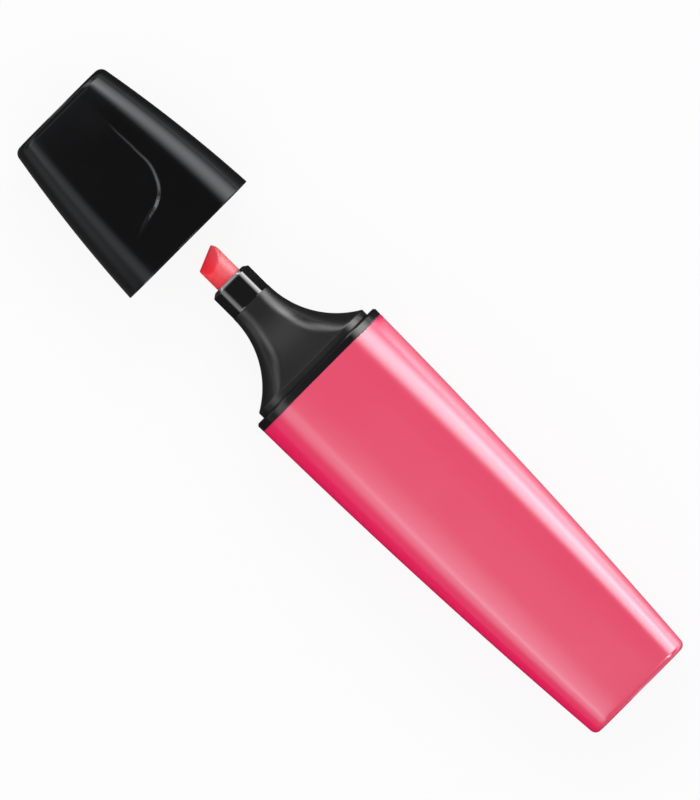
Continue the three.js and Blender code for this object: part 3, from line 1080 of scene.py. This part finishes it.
@dataclass
class NibHolder(Part):
    """Gloss nose sleeve with a tube behind it that carries the nib.

    The nose has a bevel at its front and a long flat facet on each corner. A facet's lean is in
    degrees from the broad face, and its distance is from the centre of the corner's rounding.
    """

    nose: Section = Section(3.95, 3.7, 2.8)
    nose_start: float = 14.86
    front_edge: float = 0.6
    front_drop: float = 0.8
    face_ease: float = 0.2
    ease_rise: float = 0.09
    highlight_band_half: float = 2.3
    facet_lean: float = 54.0
    facet_distance: float = 2.54
    wall: float = 1.4
    tube_inset: float = 0.9
    soft: float = 0.05

    def build(self) -> Mesh:
        """Draws the nose, its front bevel, the bore, and the tube behind.

        The bevel's broad faces keep a lean of 1, which gives them the paler colour of the finish: a
        painted highlight for the light that the bevel reflects.

        Returns:
            The mesh.
        """
        end, soft, drop, wall = self.places.nose_end, self.soft, self.front_drop, self.wall
        start, edge, sink = self.nose_start, end - self.front_edge, soft * 0.8
        path = SkinPath(self.nose, start, -soft)
        path.turn(start + soft, 0.0, Heading.ACROSS, 3).line(x=edge - soft, steps=8)
        path.turn(edge + soft, -sink, Heading.ALONG, 3)
        path.line(end - sink, -drop + soft, 5).turn(end, -drop - soft, Heading.ACROSS, 3)
        path.line(margin=-wall + 3 * soft, steps=4)
        path.turn(end - 3 * soft, -wall, Heading.ACROSS, 4)
        path.line(x=self.places.holder_back, steps=10).line(margin=-self.tube_inset, steps=3)
        path.line(x=start, steps=10).line(margin=-3 * soft, steps=4)
        skin = Skin(path.rows(), Ring(corner=30, broad=6, narrow=6), sleeve=True)
        grid = self.shaped(skin)
        # Painted highlight mask: the bevel's broad faces near the middle take the finish's pale
        # grey.
        rim = (grid[..., 0] > edge + 2 * soft) & (np.abs(grid[..., 1]) < self.highlight_band_half)
        return self.skinned("nib_holder", skin, grid, rim * 1.0)

    def shaped(self, skin: Skin) -> Array:
        """Makes the bevel shallower on the broad faces, and cuts a flat facet along each corner.

        Both start from the outline of the nose's outside. The bevel's depth below it is scaled down
        by a share that rises quickly from the bevel's start, and goes back to itself at the bore.
        Where the outline stands further out from its corner's centre, along the facet's normal,
        than the facet's distance, it is moved back along that normal, and what lies inside
        follows it by less and less down to the bore.

        Args:
            skin: Skin of the nose.

        Returns:
            Its points, with the eased bevel and the cut corners.
        """
        nose, wall, grid = self.nose, self.wall, skin.points()
        inset = (nose.half_height - skin.rows[:, 2])[:, None]
        y, z = np.abs(grid[inset.argmin()])[:, 1:].T
        side_y, side_z = np.sign(grid[..., 1]), np.sign(grid[..., 2])
        past = grid[..., 0] - self.places.nose_end + self.front_edge
        share = (1 - self.face_ease) * np.clip(past / self.ease_rise, 0, 1)
        slope = share * self.front_drop / (wall - self.front_drop)
        eased = np.minimum(share, slope * (wall - inset) / np.maximum(inset, self.soft))
        lift = np.clip(eased, 0, None) * (z - np.abs(grid[..., 2]))
        lean = math.radians(self.facet_lean)
        out_y, out_z = y - nose.half_width + nose.radius, z - nose.half_height + nose.radius
        out = out_y * math.sin(lean) + out_z * math.cos(lean)
        cut = np.clip(out - self.facet_distance, 0, None) * np.clip(1 - inset / wall, 0, 1)
        grid[..., 1] -= side_y * cut * math.sin(lean)
        grid[..., 2] += side_z * (lift - cut * math.cos(lean))
        return grid

    def dress(self) -> None:
        """Adds the nose sleeve in gloss black plastic."""
        mesh, finish = self.build(), NOSE_BLACK.material()
        self.show("nose_sleeve", mesh, finish, Slot.GLOSS_BLACK, "nib_holder")


@dataclass
class Grip(Part):
    """Satin grip: a short skirt, a flared cone up to the nose, and a hollow plug in the collar."""

    collar: Collar
    holder: NibHolder
    cap: Taper
    cap_wall: float = 1.35
    cap_gap: float = 0.1
    skirt_length: float = 1.14
    skirt_corner: float = 5.1
    step: float = 0.04
    wall: float = 1.4
    plug_wall: float = 1.2
    fit_gap: float = 0.15
    seat_gap: float = 0.01
    nose_solid: float = 6.8
    socket_inset: float = 0.9
    soft: float = 0.03
    crowding: float = math.pi / 3
    rows_outside: int = 44
    rows_inside: int = 16

    def skirt(self) -> Section:
        """Section of the skirt, which suits the closed cap where the skirt ends."""
        inside = self.cap.at(self.skirt_length).grown(-self.cap_wall - self.cap_gap)
        return Section(inside.half_width, inside.half_height, self.skirt_corner)

    def cone_places(self, end: float, count: int) -> Array:
        """Places from the skirt to a given end, closer together where the cone is steeper."""
        share = np.sin(np.linspace(self.crowding, 0, count + 1)[1:]) / math.sin(self.crowding)
        return end - (end - self.skirt_length) * share

    def build(self) -> Mesh:
        """Draws the skirt and cone outside, the nib holder's socket, the hollow and the plug.

        Returns:
            The mesh.
        """
        front, back, soft, skirt = self.places.grip_front, self.seat_gap, self.soft, self.skirt()
        cone = Cone(self.holder.nose.grown(self.step), skirt, self.skirt_length, front)
        plug = self.collar.plug().grown(-self.collar.wall - self.fit_gap)
        plug_hollow, hollow_end = plug.grown(-self.plug_wall), front - self.nose_solid

        def hollow(x: Array) -> Array:
            """Sections of the hollow, which the cone or the plug limits."""
            inside = cone(np.maximum(x, self.skirt_length))
            inside[:, :3] -= self.wall
            return np.minimum(inside, plug_hollow(x))

        path = SkinPath(skirt, back, -soft)
        path.turn(back + soft, 0.0, Heading.ACROSS, 3).line(x=self.skirt_length - soft, steps=5)
        path.follow(cone, self.cone_places(front - soft, self.rows_outside))
        path.turn(front, -soft, Heading.ALONG, 3)
        path.line(margin=-self.socket_inset, steps=4).line(x=hollow_end, steps=4)
        path.rebase(hollow, 0.0, 4)
        path.follow(hollow, self.cone_places(hollow_end, self.rows_inside)[::-1][1:])
        path.line(x=self.places.grip_back, steps=5).rebase(plug, 0.0, 3)
        path.line(x=back).rebase(skirt, -3 * soft, 5)
        skin = Skin(path.rows(), Ring(corner=20, broad=16, narrow=10), sleeve=True)
        return self.skinned("grip_section", skin)

    def dress(self) -> None:
        """Adds the grip in satin black plastic."""
        mesh, finish = self.build(), SATIN_BLACK.material()
        self.show("grip_cone", mesh, finish, Slot.SATIN_BLACK, "grip_section")


@dataclass
class Nib(Part):
    """Felt bar cut to a slanted chisel: one slanted end and a facet above and below it."""

    section: Section = Section(2.45, 2.2, 1.9)
    slant: float = 22.7
    corner_y: float = -2.0
    corner_slope: float = 2.2
    corner_soft: float = 0.3
    edge_half: float = 0.8
    facet_length: float = 2.4
    worn: float = 0.16
    row_crowding: float = 0.7
    rows_along: int = 60
    rows_lip: int = 7
    rows_tip: int = 30
    rows_back: int = 5
    ring: Ring = Ring(corner=24, broad=26, narrow=22)

    def end_of(self, y: Array, z: Array) -> Array:
        """Where the felt ends, over points across the axis.

        The end is the slanted plane, tip - (y - corner) tan(slant), cut back outside the corner by
        a steeper plane, with the lower of the two softened as their mean less half the root of
        their squared difference plus a small square. It is drawn back on each facet by its slope
        times the height past the writing edge, softened in the same way.

        Args:
            y: Places across the width.
            z: Places through the thickness.

        Returns:
            Places along the axis.
        """
        past_corner = y - self.corner_y
        slanted = self.places.nib_tip - past_corner * math.tan(math.radians(self.slant))
        cut = self.places.nib_tip + past_corner * self.corner_slope
        slanted = (slanted + cut - np.sqrt((slanted - cut) ** 2 + self.corner_soft**2)) / 2
        slanted += self.corner_soft / 3
        excess = np.abs(z) - self.edge_half
        soft_excess = (excess + np.sqrt(excess**2 + self.worn**2)) / 2
        slope = self.facet_length / (self.section.half_height - self.edge_half)
        return slanted - slope * soft_excess

    def across(self, margin: Array, scale: Array) -> Array:
        """Outlines across the axis, one for each margin and scale, as y and z."""
        p, q, a = self.ring.template()
        section, radius = self.section, self.section.radius + margin[:, None]
        y = p * (section.half_width - section.radius) + radius * np.cos(a)
        z = q * (section.half_height - section.radius) + radius * np.sin(a)
        return np.stack([y, z]) * scale[:, None]

    def build(self) -> Mesh:
        """Sweeps the section to the end surface, then closes that surface towards its middle.

        A point of the side lies a share v of the way from the back to the end over its own place in
        the section. Over the last stretch the section draws in on a quarter circle, so the edge
        is rounded, and the end surface scales the section down to its centre.

        Returns:
            The mesh.
        """
        back, worn = self.places.nib_back, self.worn
        plain = np.zeros(self.rows_along)
        share = (np.linspace(0, 1, self.rows_along) ** self.row_crowding)[:, None]
        side = self.across(plain, plain + 1)
        side_x = back + (self.end_of(*side) - worn - back) * share
        angle = np.linspace(0, QUARTER, self.rows_lip + 1)[1:]
        lip = self.across(-worn * (1 - np.cos(angle)), np.ones(self.rows_lip))
        lip_x = self.end_of(*lip) - worn * (1 - np.sin(angle))[:, None]
        scale = np.linspace(1, 0, self.rows_tip + 1)[1:-1]
        tip = self.across(np.full(len(scale), -worn), scale)
        scale = np.linspace(0, 1, self.rows_back + 1)[1:-1]
        rear = self.across(0 * scale, scale)
        x = np.concatenate([np.full(rear[0].shape, back), side_x, lip_x, self.end_of(*tip)])
        grid = np.stack([x, *np.concatenate([rear, side, lip, tip], axis=1)], axis=-1)
        centre = self.end_of(np.zeros(1), np.zeros(1))[0]
        vertices = np.concatenate([grid.reshape(-1, 3), [[back, 0, 0], [centre, 0, 0]]])
        skin = Skin(np.zeros((len(grid), 5)), self.ring, sleeve=False)
        return mesh_from("nib", self.placed(vertices), skin.faces())

    def dress(self) -> None:
        """Adds the nib in inked felt."""
        self.show("felt_nib", self.build(), NIB_FELT.material(), Slot.NIB_FIBRE, "nib")


# ---------------------------------------------------------------- the cap


@dataclass
class Relief:
    """Low swoosh moulded on the cap's front face: a soft step along the face that bends across it.

    Places count from the cap's closed end and across the face, in millimetres. Heights go with the
    distance along the step.
    """

    knots: tuple[Pair, ...] = (
        *((2.6, -4.15), (9.0, -4.2), (14.0, -4.3), (17.1, -4.25), (19.1, -3.6), (20.5, -2.85)),
        *((21.5, -1.95), (22.4, -0.5), (23.0, 1.55), (23.8, 4.3), (24.5, 6.3)),
    )
    heights: tuple[Pair, ...] = (
        *((0.0, 0.0), (3.6, 0.07), (6.0, 0.155), (12.0, 0.175), (15.0, 0.21), (18.0, 0.3)),
        *((21.0, 0.37), (22.8, 0.32), (24.8, 0.15), (26.4, 0.0), (28.3, 0.0)),
    )
    ramp: float = 1.15
    fall: float = 4.4
    spread: float = 1.6
    count: int = 240

    def curve(self) -> tuple[Array, Array]:
        """Dense points of the step's edge, smoothed between its knots.

        A cubic Hermite curve passes the knots, with the mean of its neighbours as tangent.

        Returns:
            The points, and the distance along the curve of each.
        """
        knots = np.array(self.knots)
        chord = lengths(knots)
        tangent = np.gradient(knots, chord, axis=0)
        at = np.linspace(0, chord[-1], self.count)
        k = np.clip(np.searchsorted(chord, at, side="right") - 1, 0, len(knots) - 2)
        step = (chord[k + 1] - chord[k])[:, None]
        s = (at - chord[k])[:, None] / step
        points = (
            (2 * s**3 - 3 * s**2 + 1) * knots[k]
            + (s**3 - 2 * s**2 + s) * step * tangent[k]
            + (3 * s**2 - 2 * s**3) * knots[k + 1]
            + (s**3 - s**2) * step * tangent[k + 1]
        )
        return points, lengths(points)

    def height(self, back: Array, y: Array) -> Array:
        """How far the face is raised, over places on it.

        The height is a mean over the edge's points, weighted towards the nearest ones, times a
        smooth ramp over the signed distance to the edge, times a slow fall behind it.

        Args:
            back: Distances from the closed end.
            y: Places across the face.

        Returns:
            Heights above the plain face.
        """
        points, along = self.curve()
        offset = np.column_stack([back.ravel(), y.ravel()])[:, None, :] - points[None, :, :]
        squared = (offset**2).sum(axis=-1)
        nearest, every = squared.argmin(axis=1), np.arange(len(squared))
        tangent, gap = np.gradient(points, along, axis=0)[nearest], offset[every, nearest]
        side = tangent[:, 0] * gap[:, 1] - tangent[:, 1] * gap[:, 0]
        distance = np.sign(side) * np.sqrt(squared[every, nearest])
        share = np.clip(distance / self.ramp + 0.5, 0, 1)
        ramp = share**3 * (10 - 15 * share + 6 * share**2)
        fall = np.exp(-((np.clip(distance, 0, None) / self.fall) ** 2))
        knots, values = np.array(self.heights).T
        weight = np.exp(-(squared - squared.min(axis=1, keepdims=True)) / (2 * self.spread**2))
        peak = weight @ np.interp(along, knots, values) / weight.sum(axis=1)
        return (peak * ramp * fall).reshape(back.shape)


def lengths(points: Array) -> Array:
    """Distance of each point from the first, along the line through them."""
    return np.concatenate([[0], np.cumsum(np.linalg.norm(np.diff(points, axis=0), axis=1))])


@dataclass
class Cap(Part):
    """Cap shell with its swoosh relief, the ribs inside it and the inner cap that seals the nib."""

    rim_width: float = 26.92
    end_width: float = 19.8
    crown: float = 0.46
    plane_length: float = 10.0
    drop: float = 1.0
    rim_radius: float = 6.6
    end_radius: float = 4.7
    end_round: float = 1.1
    wall: float = 1.35
    end_wall: float = 1.6
    ceiling_round: float = 0.5
    lip: float = 0.05
    relief: Relief = field(default_factory=Relief)
    relief_reach: float = 0.8
    inner_socket: Section = Section(4.15, 3.9, 3.2)
    inner_wall: float = 0.9
    inner_end_wall: float = 1.15
    inner_soft: float = 0.2
    rib_width: float = 1.0
    rib_length: float = 6.0
    rib_gap: float = 0.15
    rib_round: float = 0.12
    rib_round_share: float = 0.9
    rib_taper: tuple[float, ...] = (0.3, 0.7, 0.93)
    rib_rows: int = 9
    sunk_in_ceiling: float = 0.1
    sunk_in_side: float = 0.25
    ring: Ring = Ring(corner=16, broad=104, narrow=10)
    rows_along: int = 190
    body = Body.CAP

    def outline(self) -> Taper:
        """The cap's outer sections."""
        return Taper(
            self.places.cap_end,
            self.rim_width,
            self.end_width,
            self.crown,
            self.plane_length,
            self.drop,
            self.rim_radius,
            self.end_radius,
            crowning=0.0,
        )

    def build_shell(self) -> Mesh:
        """Draws the shell from its ceiling out to the rim and along the outside to the closed end.

        The relief then lifts the points of the front face, within its reach in radians of the
        ring's angle, and less so where that face turns away.

        Returns:
            The mesh.
        """
        end, lip, wall, edge = self.places.cap_end, self.lip, -self.wall, self.end_round
        ceiling, inner = end - self.end_wall, self.ceiling_round
        path = SkinPath(self.outline(), ceiling, wall - inner)
        path.turn(ceiling - inner, wall, Heading.ACROSS, 4).line(x=lip, steps=14)
        path.turn(0.0, wall + lip, Heading.ALONG, 4).line(margin=-lip, steps=5)
        path.turn(lip, 0.0, Heading.ACROSS, 4)
        inside = len(path.runs)
        path.even(end - edge, self.rows_along).turn(end, -edge, Heading.ALONG, 10)
        path.capped(first=5, last=12)
        first = sum(len(run) for run in path.runs[: inside + 1])
        skin = Skin(path.rows(), self.ring, sleeve=False)
        grid, angle = skin.points(), self.ring.template()[2]
        columns = np.flatnonzero(np.abs(angle - QUARTER) < self.relief_reach)
        x, y, _ = np.moveaxis(grid[first:, columns], -1, 0)
        facing = np.clip(np.sin(angle[columns]), 0, 1) ** 4
        grid[first:, columns, 2] += self.relief.height(end - x, y) * facing
        return self.skinned("cap_shell", skin, grid)

    def build_inner(self) -> Mesh:
        """Draws the inner cap from its socket's end out to its mouth and back along the outside.

        Returns:
            The mesh.
        """
        start, end, soft = self.places.inner_mouth, self.places.inner_end, self.inner_soft
        depth, wall = end - self.inner_end_wall, self.inner_wall
        path = SkinPath(self.inner_socket, depth, -soft)
        path.turn(depth - soft, 0.0, Heading.ACROSS, 3).line(x=start + soft, steps=10)
        path.turn(start, soft, Heading.ALONG, 4).line(margin=wall - soft, steps=3)
        path.turn(start + soft, wall, Heading.ACROSS, 4).line(x=end - soft, steps=10)
        path.turn(end, wall - soft, Heading.ALONG, 4).capped(first=5, last=6)
        skin = Skin(path.rows(), Ring(corner=18, broad=6, narrow=6), sleeve=False)
        return self.skinned("inner_cap", skin)

    def build_rib(self, name: str, turn_y: int, turn_z: int) -> Mesh:
        """Thin upright blade between the inner cap and the shell.

        Its inner edge is straight and its outer edge follows the cavity, so each of its sections is
        a thin rounded rectangle whose centre lies midway. It shrinks at both ends.

        Args:
            name: Name of the mesh.
            turn_y: Side across the width, or 0.
            turn_z: Side through the thickness, or 0.

        Returns:
            The mesh.
        """
        shrink = np.array([*self.rib_taper, *np.ones(self.rib_rows), *self.rib_taper[::-1]])
        share = np.pad(np.linspace(0, 1, self.rib_rows), len(self.rib_taper), mode="edge")
        end = self.places.cap_end - self.end_wall + self.sunk_in_ceiling
        x = end - (self.rib_length + self.sunk_in_ceiling) * (1 - share)
        inner = self.inner_socket.grown(self.inner_wall + self.rib_gap)
        near = inner.half_width if turn_y else inner.half_height
        cavity = self.outline()(x)[:, 0 if turn_y else 1] - self.wall
        far = cavity + self.sunk_in_side
        sizes = [(far - near) / 2 * shrink, self.rib_width / 2 * shrink]
        size_y, size_z = sizes if turn_y else sizes[::-1]
        radius = np.minimum(self.rib_round, self.rib_round_share * np.minimum(size_y, size_z))
        rows = np.column_stack([x, size_y, size_z, radius, np.zeros(len(x))])
        middle, ring = (far + near) / 2, Ring(corner=3, broad=3, narrow=3)
        return self.skinned(name, Skin(rows, ring, False, middle * turn_y, middle * turn_z))

    def dress(self) -> None:
        """Adds the shell and its ribs in gloss black and the inner cap in satin black."""
        gloss, satin = CAP_BLACK.material(), bpy.data.materials[SATIN_BLACK.name]
        self.show("cap_body", self.build_shell(), gloss, Slot.GLOSS_BLACK, "cap_shell")
        self.show("cap_liner", self.build_inner(), satin, Slot.SATIN_BLACK, "inner_cap")
        sides = {"left": (1, 0), "right": (-1, 0), "front": (0, 1), "back": (0, -1)}
        for side, turns in sides.items():
            name = f"cap_rib_{side}"
            self.show(name, self.build_rib(name, *turns), gloss, Slot.GLOSS_BLACK)


# ---------------------------------------------------------------- studio


def sheet(name: str, span_x: Pair, span_y: Pair, height: float, finish: Material) -> Object:
    """Lays a flat rectangle that belongs to the studio.

    Args:
        name: Name of the sheet.
        span_x: Lowest and highest place along X, in metres.
        span_y: Lowest and highest place along Y, in metres.
        height: Height above the floor, in metres.
        finish: Its material.

    Returns:
        The object.
    """
    (x0, x1), (y0, y1) = span_x, span_y
    corners = [[x0, y0, height], [x1, y0, height], [x1, y1, height], [x0, y1, height]]
    mesh = mesh_from(name, np.array(corners), [[0, 1, 2, 3]])
    mesh.materials.append(finish)
    thing = linked(name, mesh)
    return thing


@dataclass(frozen=True)
class Softbox:
    """Rectangular lamp that faces the pen.

    Azimuth is the compass direction of the lamp about Z from +X, in degrees. It reaches from one
    tilt from overhead to another. The edge is the share of its height over which its light falls
    away, and the shift moves it along X. Lengths are in metres.
    """

    name: str
    azimuth: float
    tilt_from: float
    tilt_to: float
    width: float
    radiance: float
    edge: float = 0.35
    side_edge: float = 0.2
    lights_matt: bool = False
    shows_in_gloss: bool = True
    distance: float = 0.8
    shift: float = 0.0

    def soften(self, lamp: bpy.types.Light) -> None:
        """Lets the light fall away towards the lamp's edges, as cloth over a box does.

        The strength is the product, over both directions of the lamp, of a smooth rise over the
        distance to the nearer edge as a share of the lamp.

        Args:
            lamp: The lamp's data.
        """
        tree = Tree(lamp)
        at = tree.add("NewGeometry").outputs["Parametric"]
        places = tree.add("SeparateXYZ", input_0=at).outputs
        rises = []
        for place, edge in zip(places, (self.side_edge, self.edge)):
            off_centre = tree.math("ABSOLUTE", tree.math("SUBTRACT", place, 0.5))
            ends = {"From_Min": 0.5, "From_Max": 0.5 - edge}
            smooth = {"interpolation_type": "SMOOTHSTEP"}
            rises.append(tree.add("MapRange", smooth, Value=off_centre, **ends).outputs[0])
        tree.shown_by(tree.glow(tree.math("MULTIPLY", *rises)), "OutputLight")

    def place(self, aim: Vector) -> None:
        """Adds the lamp at its distance from a point, turned to face it.

        An area lamp's power is its radiance times four times its area.

        Args:
            aim: Point that the lamp faces, in metres.
        """
        lamp = bpy.data.lights.new(self.name, "AREA")
        lamp.shape = "RECTANGLE"
        half_angle = math.radians(self.tilt_to - self.tilt_from) / 2
        height = 2 * self.distance * math.tan(half_angle)
        lamp.size, lamp.size_y = self.width, height
        lamp.energy = self.radiance * self.width * height * POWER_PER_RADIANCE
        self.soften(lamp)
        azimuth = math.radians(self.azimuth)
        tilt = math.radians(self.tilt_from + self.tilt_to) / 2
        level, up = math.sin(tilt) * self.distance, math.cos(tilt) * self.distance
        away = Vector((level * math.cos(azimuth) + self.shift, level * math.sin(azimuth), up))
        holder = linked(self.name, lamp)
        holder.location = aim + away
        holder.rotation_euler = (tilt, 0.0, azimuth + QUARTER)
        holder.visible_camera = False
        holder.visible_glossy = self.shows_in_gloss
        holder.visible_diffuse = self.lights_matt
        LOG.info("%s: lamp %.2f by %.2f m", self.name, self.width, height)


@dataclass(frozen=True)
class Card:
    """Sheet lying on the floor beside the pen that only gloss reflects, black or lit.

    Spans are the lowest and highest place along X and Y, in metres. The levels of light are those
    near the pen and away from it.
    """

    name: str
    span_x: Pair
    span_y: Pair
    levels: Pair
    near: float = 0.018
    away: float = 0.06
    lift: float = 0.0002

    def place(self) -> None:
        """Adds the sheet just above the floor."""
        tree = material_tree(self.name)
        side = tree.add("SeparateXYZ", input_0=tree.position()).outputs["Y"]
        level = tree.span(tree.math("ABSOLUTE", side), *self.levels, self.near, self.away)
        finish = tree.shown_by(tree.glow(level))
        card = sheet(self.name, self.span_x, self.span_y, self.lift, finish)
        for ray in ("camera", "diffuse", "transmission", "shadow", "volume_scatter"):
            setattr(card, f"visible_{ray}", False)


@dataclass
class Studio:
    """Pale floor, softboxes, cards, dim overhead and camera.

    Lengths are in metres. Levels of light count plain white as 1, and the overhead and the horizon
    are what gloss reflects, between two heights of the direction looked in.
    """

    places: Places
    dome: float = 1.1
    overhead: float = 0.02
    horizon: float = 0.3
    horizon_span: Pair = (0.05, 0.75)
    floor_half: float = 30.0
    floor_tones: Pair = (0.89, 0.91)
    floor_mottle: float = 40.0
    floor_glow: float = 0.985
    glow_shares: Pair = (0.92, 1.0)
    glow_span: Pair = (0.12, 0.6)
    view_span: float = 0.1307
    camera_height: float = 3.0
    camera_reach: float = 100.0
    sensor: float = 36.0
    camera_turn: float = 224.88
    aim: Pair = (-0.00013, -0.00008)
    softboxes: tuple[Softbox, ...] = (
        Softbox("key_strip", -90.0, 20.0, 92.0, 1.2, 5.1, edge=0.5),
        Softbox("low_barrel", -90.0, 60.0, 93.0, 0.24, 2.8, edge=0.15, distance=0.3, shift=-0.1),
        Softbox("left_wall", 90.0, 14.0, 70.0, 1.9, 1.2, edge=0.45),
        Softbox("left_barrel", 90.0, 0.0, 40.0, 0.16, 1.6, edge=0.2, distance=0.3, shift=-0.072),
        Softbox("left_cap", 90.0, 58.0, 92.0, 0.16, 0.6, distance=0.3, shift=0.112),
        Softbox("front_right", -42.0, 38.0, 67.0, 0.7, 3.6),
        Softbox("front_left", 42.0, 40.0, 67.0, 0.7, 1.1),
        Softbox("skirt_right", -20.0, 60.0, 90.0, 0.5, 3.0),
        Softbox("skirt_left", 20.0, 60.0, 88.0, 0.5, 1.0),
        Softbox("front_top", 2.0, 15.0, 42.0, 0.6, 0.75),
        Softbox("relief_lamp", 205.0, 24.0, 76.0, 0.24, 7.0),
        Softbox("matt_key", -45.0, 25.0, 65.0, 0.6, 2.0, lights_matt=True, shows_in_gloss=False),
    )
    cards: tuple[Card, ...] = (
        Card("flag_left", (-0.25, 0.031), (0.002, 0.8), (0.02, 0.02)),
        Card("flag_front", (0.0055, 0.031), (-0.09, -0.002), (0.03, 0.03)),
        Card("flag_cap_left", (0.031, 0.15), (0.002, 0.8), (0.1, 0.5), near=0.02, away=0.15),
        Card("flag_cap_right", (0.031, 0.12), (-0.8, -0.002), (0.05, 1.7), near=0.025, away=0.2),
        Card("flag_barrel", (-0.12, 0.0055), (-0.8, -0.002), (0.3, 4.6), away=0.07),
    )

    def build_world(self) -> None:
        """Sets the surroundings.

        The camera sees white. Matt surfaces are lit by an even dome. Gloss reflects a dark overhead
        that grows light towards the horizon, by the height of the direction looked in.
        """
        tree = Tree(bpy.data.worlds.new("studio_surroundings"))
        rays = tree.add("LightPath").outputs
        direction = tree.add("TexCoord").outputs["Generated"]
        height = tree.add("SeparateXYZ", input_0=direction).outputs["Z"]
        rise = tree.span(height, self.horizon, self.overhead, *self.horizon_span)
        gloss = tree.add("Mix", input_0=rays["Is Glossy Ray"], input_2=self.dome, input_3=rise)
        seen = {"input_0": rays["Is Camera Ray"], "input_2": gloss.outputs[0], "input_3": 1.0}
        background = tree.add("Background", Strength=tree.add("Mix", **seen).outputs[0])
        bpy.context.scene.world = tree.shown_by(background, "OutputWorld")

    def build_floor(self) -> None:
        """Lays the floor, a matt white sheet whose far part shows as plain white."""
        tree = material_tree("pale_floor")
        position = tree.position()
        length = tree.add("VectorMath", {"operation": "LENGTH"}, input_0=position)
        rays = tree.add("LightPath").outputs
        seen = tree.math("ADD", rays["Is Camera Ray"], rays["Is Glossy Ray"])
        seen = tree.math("ADD", seen, rays["Is Transmission Ray"])
        plain = tree.span(length.outputs["Value"], *self.glow_shares, *self.glow_span)
        share = tree.math("MULTIPLY", plain, tree.math("MINIMUM", seen, 1.0))
        dark, light = ((tone, tone, tone, 1.0) for tone in self.floor_tones)
        tone = tree.blend(tree.noise(position, self.floor_mottle, detail=2.0), dark, light)
        shaders = (tree.add("BsdfDiffuse", Color=tone), tree.glow(self.floor_glow))
        matt, glow = (shader.outputs[0] for shader in shaders)
        mixed = tree.add("MixShader", input_0=share, input_1=matt, input_2=glow)
        span = (-self.floor_half, self.floor_half)
        sheet("studio_floor", span, span, 0.0, tree.shown_by(mixed))

    def place_camera(self) -> None:
        """Hangs the camera straight above, turned so that the cap lies up and to the left."""
        data = bpy.data.cameras.new("overhead_camera")
        data.sensor_width = self.sensor
        data.lens = self.sensor * self.camera_height / self.view_span
        data.clip_end = self.camera_reach
        camera = linked("overhead_camera", data)
        camera.location = (*self.aim, self.camera_height + self.places.axis_height)
        camera.rotation_euler = (0.0, 0.0, math.radians(self.camera_turn))
        bpy.context.scene.camera = camera

    def build(self) -> None:
        """Sets up the whole studio."""
        bpy.context.scene.view_settings.view_transform = "Standard"
        self.build_world()
        self.build_floor()
        for softbox in self.softboxes:
            softbox.place(Vector((0.0, 0.0, self.places.axis_height)))
        for card in self.cards:
            card.place()
        self.place_camera()


# ---------------------------------------------------------------- the whole highlighter


def dress_node(name: str, finish: Material) -> None:
    """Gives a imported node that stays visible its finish."""
    for material_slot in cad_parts[name].material_slots:
        material_slot.material = finish
    LOG.info("%s: finish %s", name, finish.name)


def main() -> None:
    """Builds the studio, the pen and the cap, and reports each piece."""
    logging.basicConfig(level=logging.INFO, format="%(name)s %(message)s")
    places = Places.from_frame()
    Studio(places).build()
    barrel, holder, cap = Barrel(places), NibHolder(places), Cap(places)
    collar = Collar(places, barrel)
    grip = Grip(places, collar, holder, cap.outline())
    for part in (barrel, collar, grip, holder, Nib(places), cap):
        part.dress()
    dress_node("ink_reservoir", RESERVOIR_FELT.material())
    dress_node("reservoir_film", FILM.material())


if __name__ == "__main__":
    main()
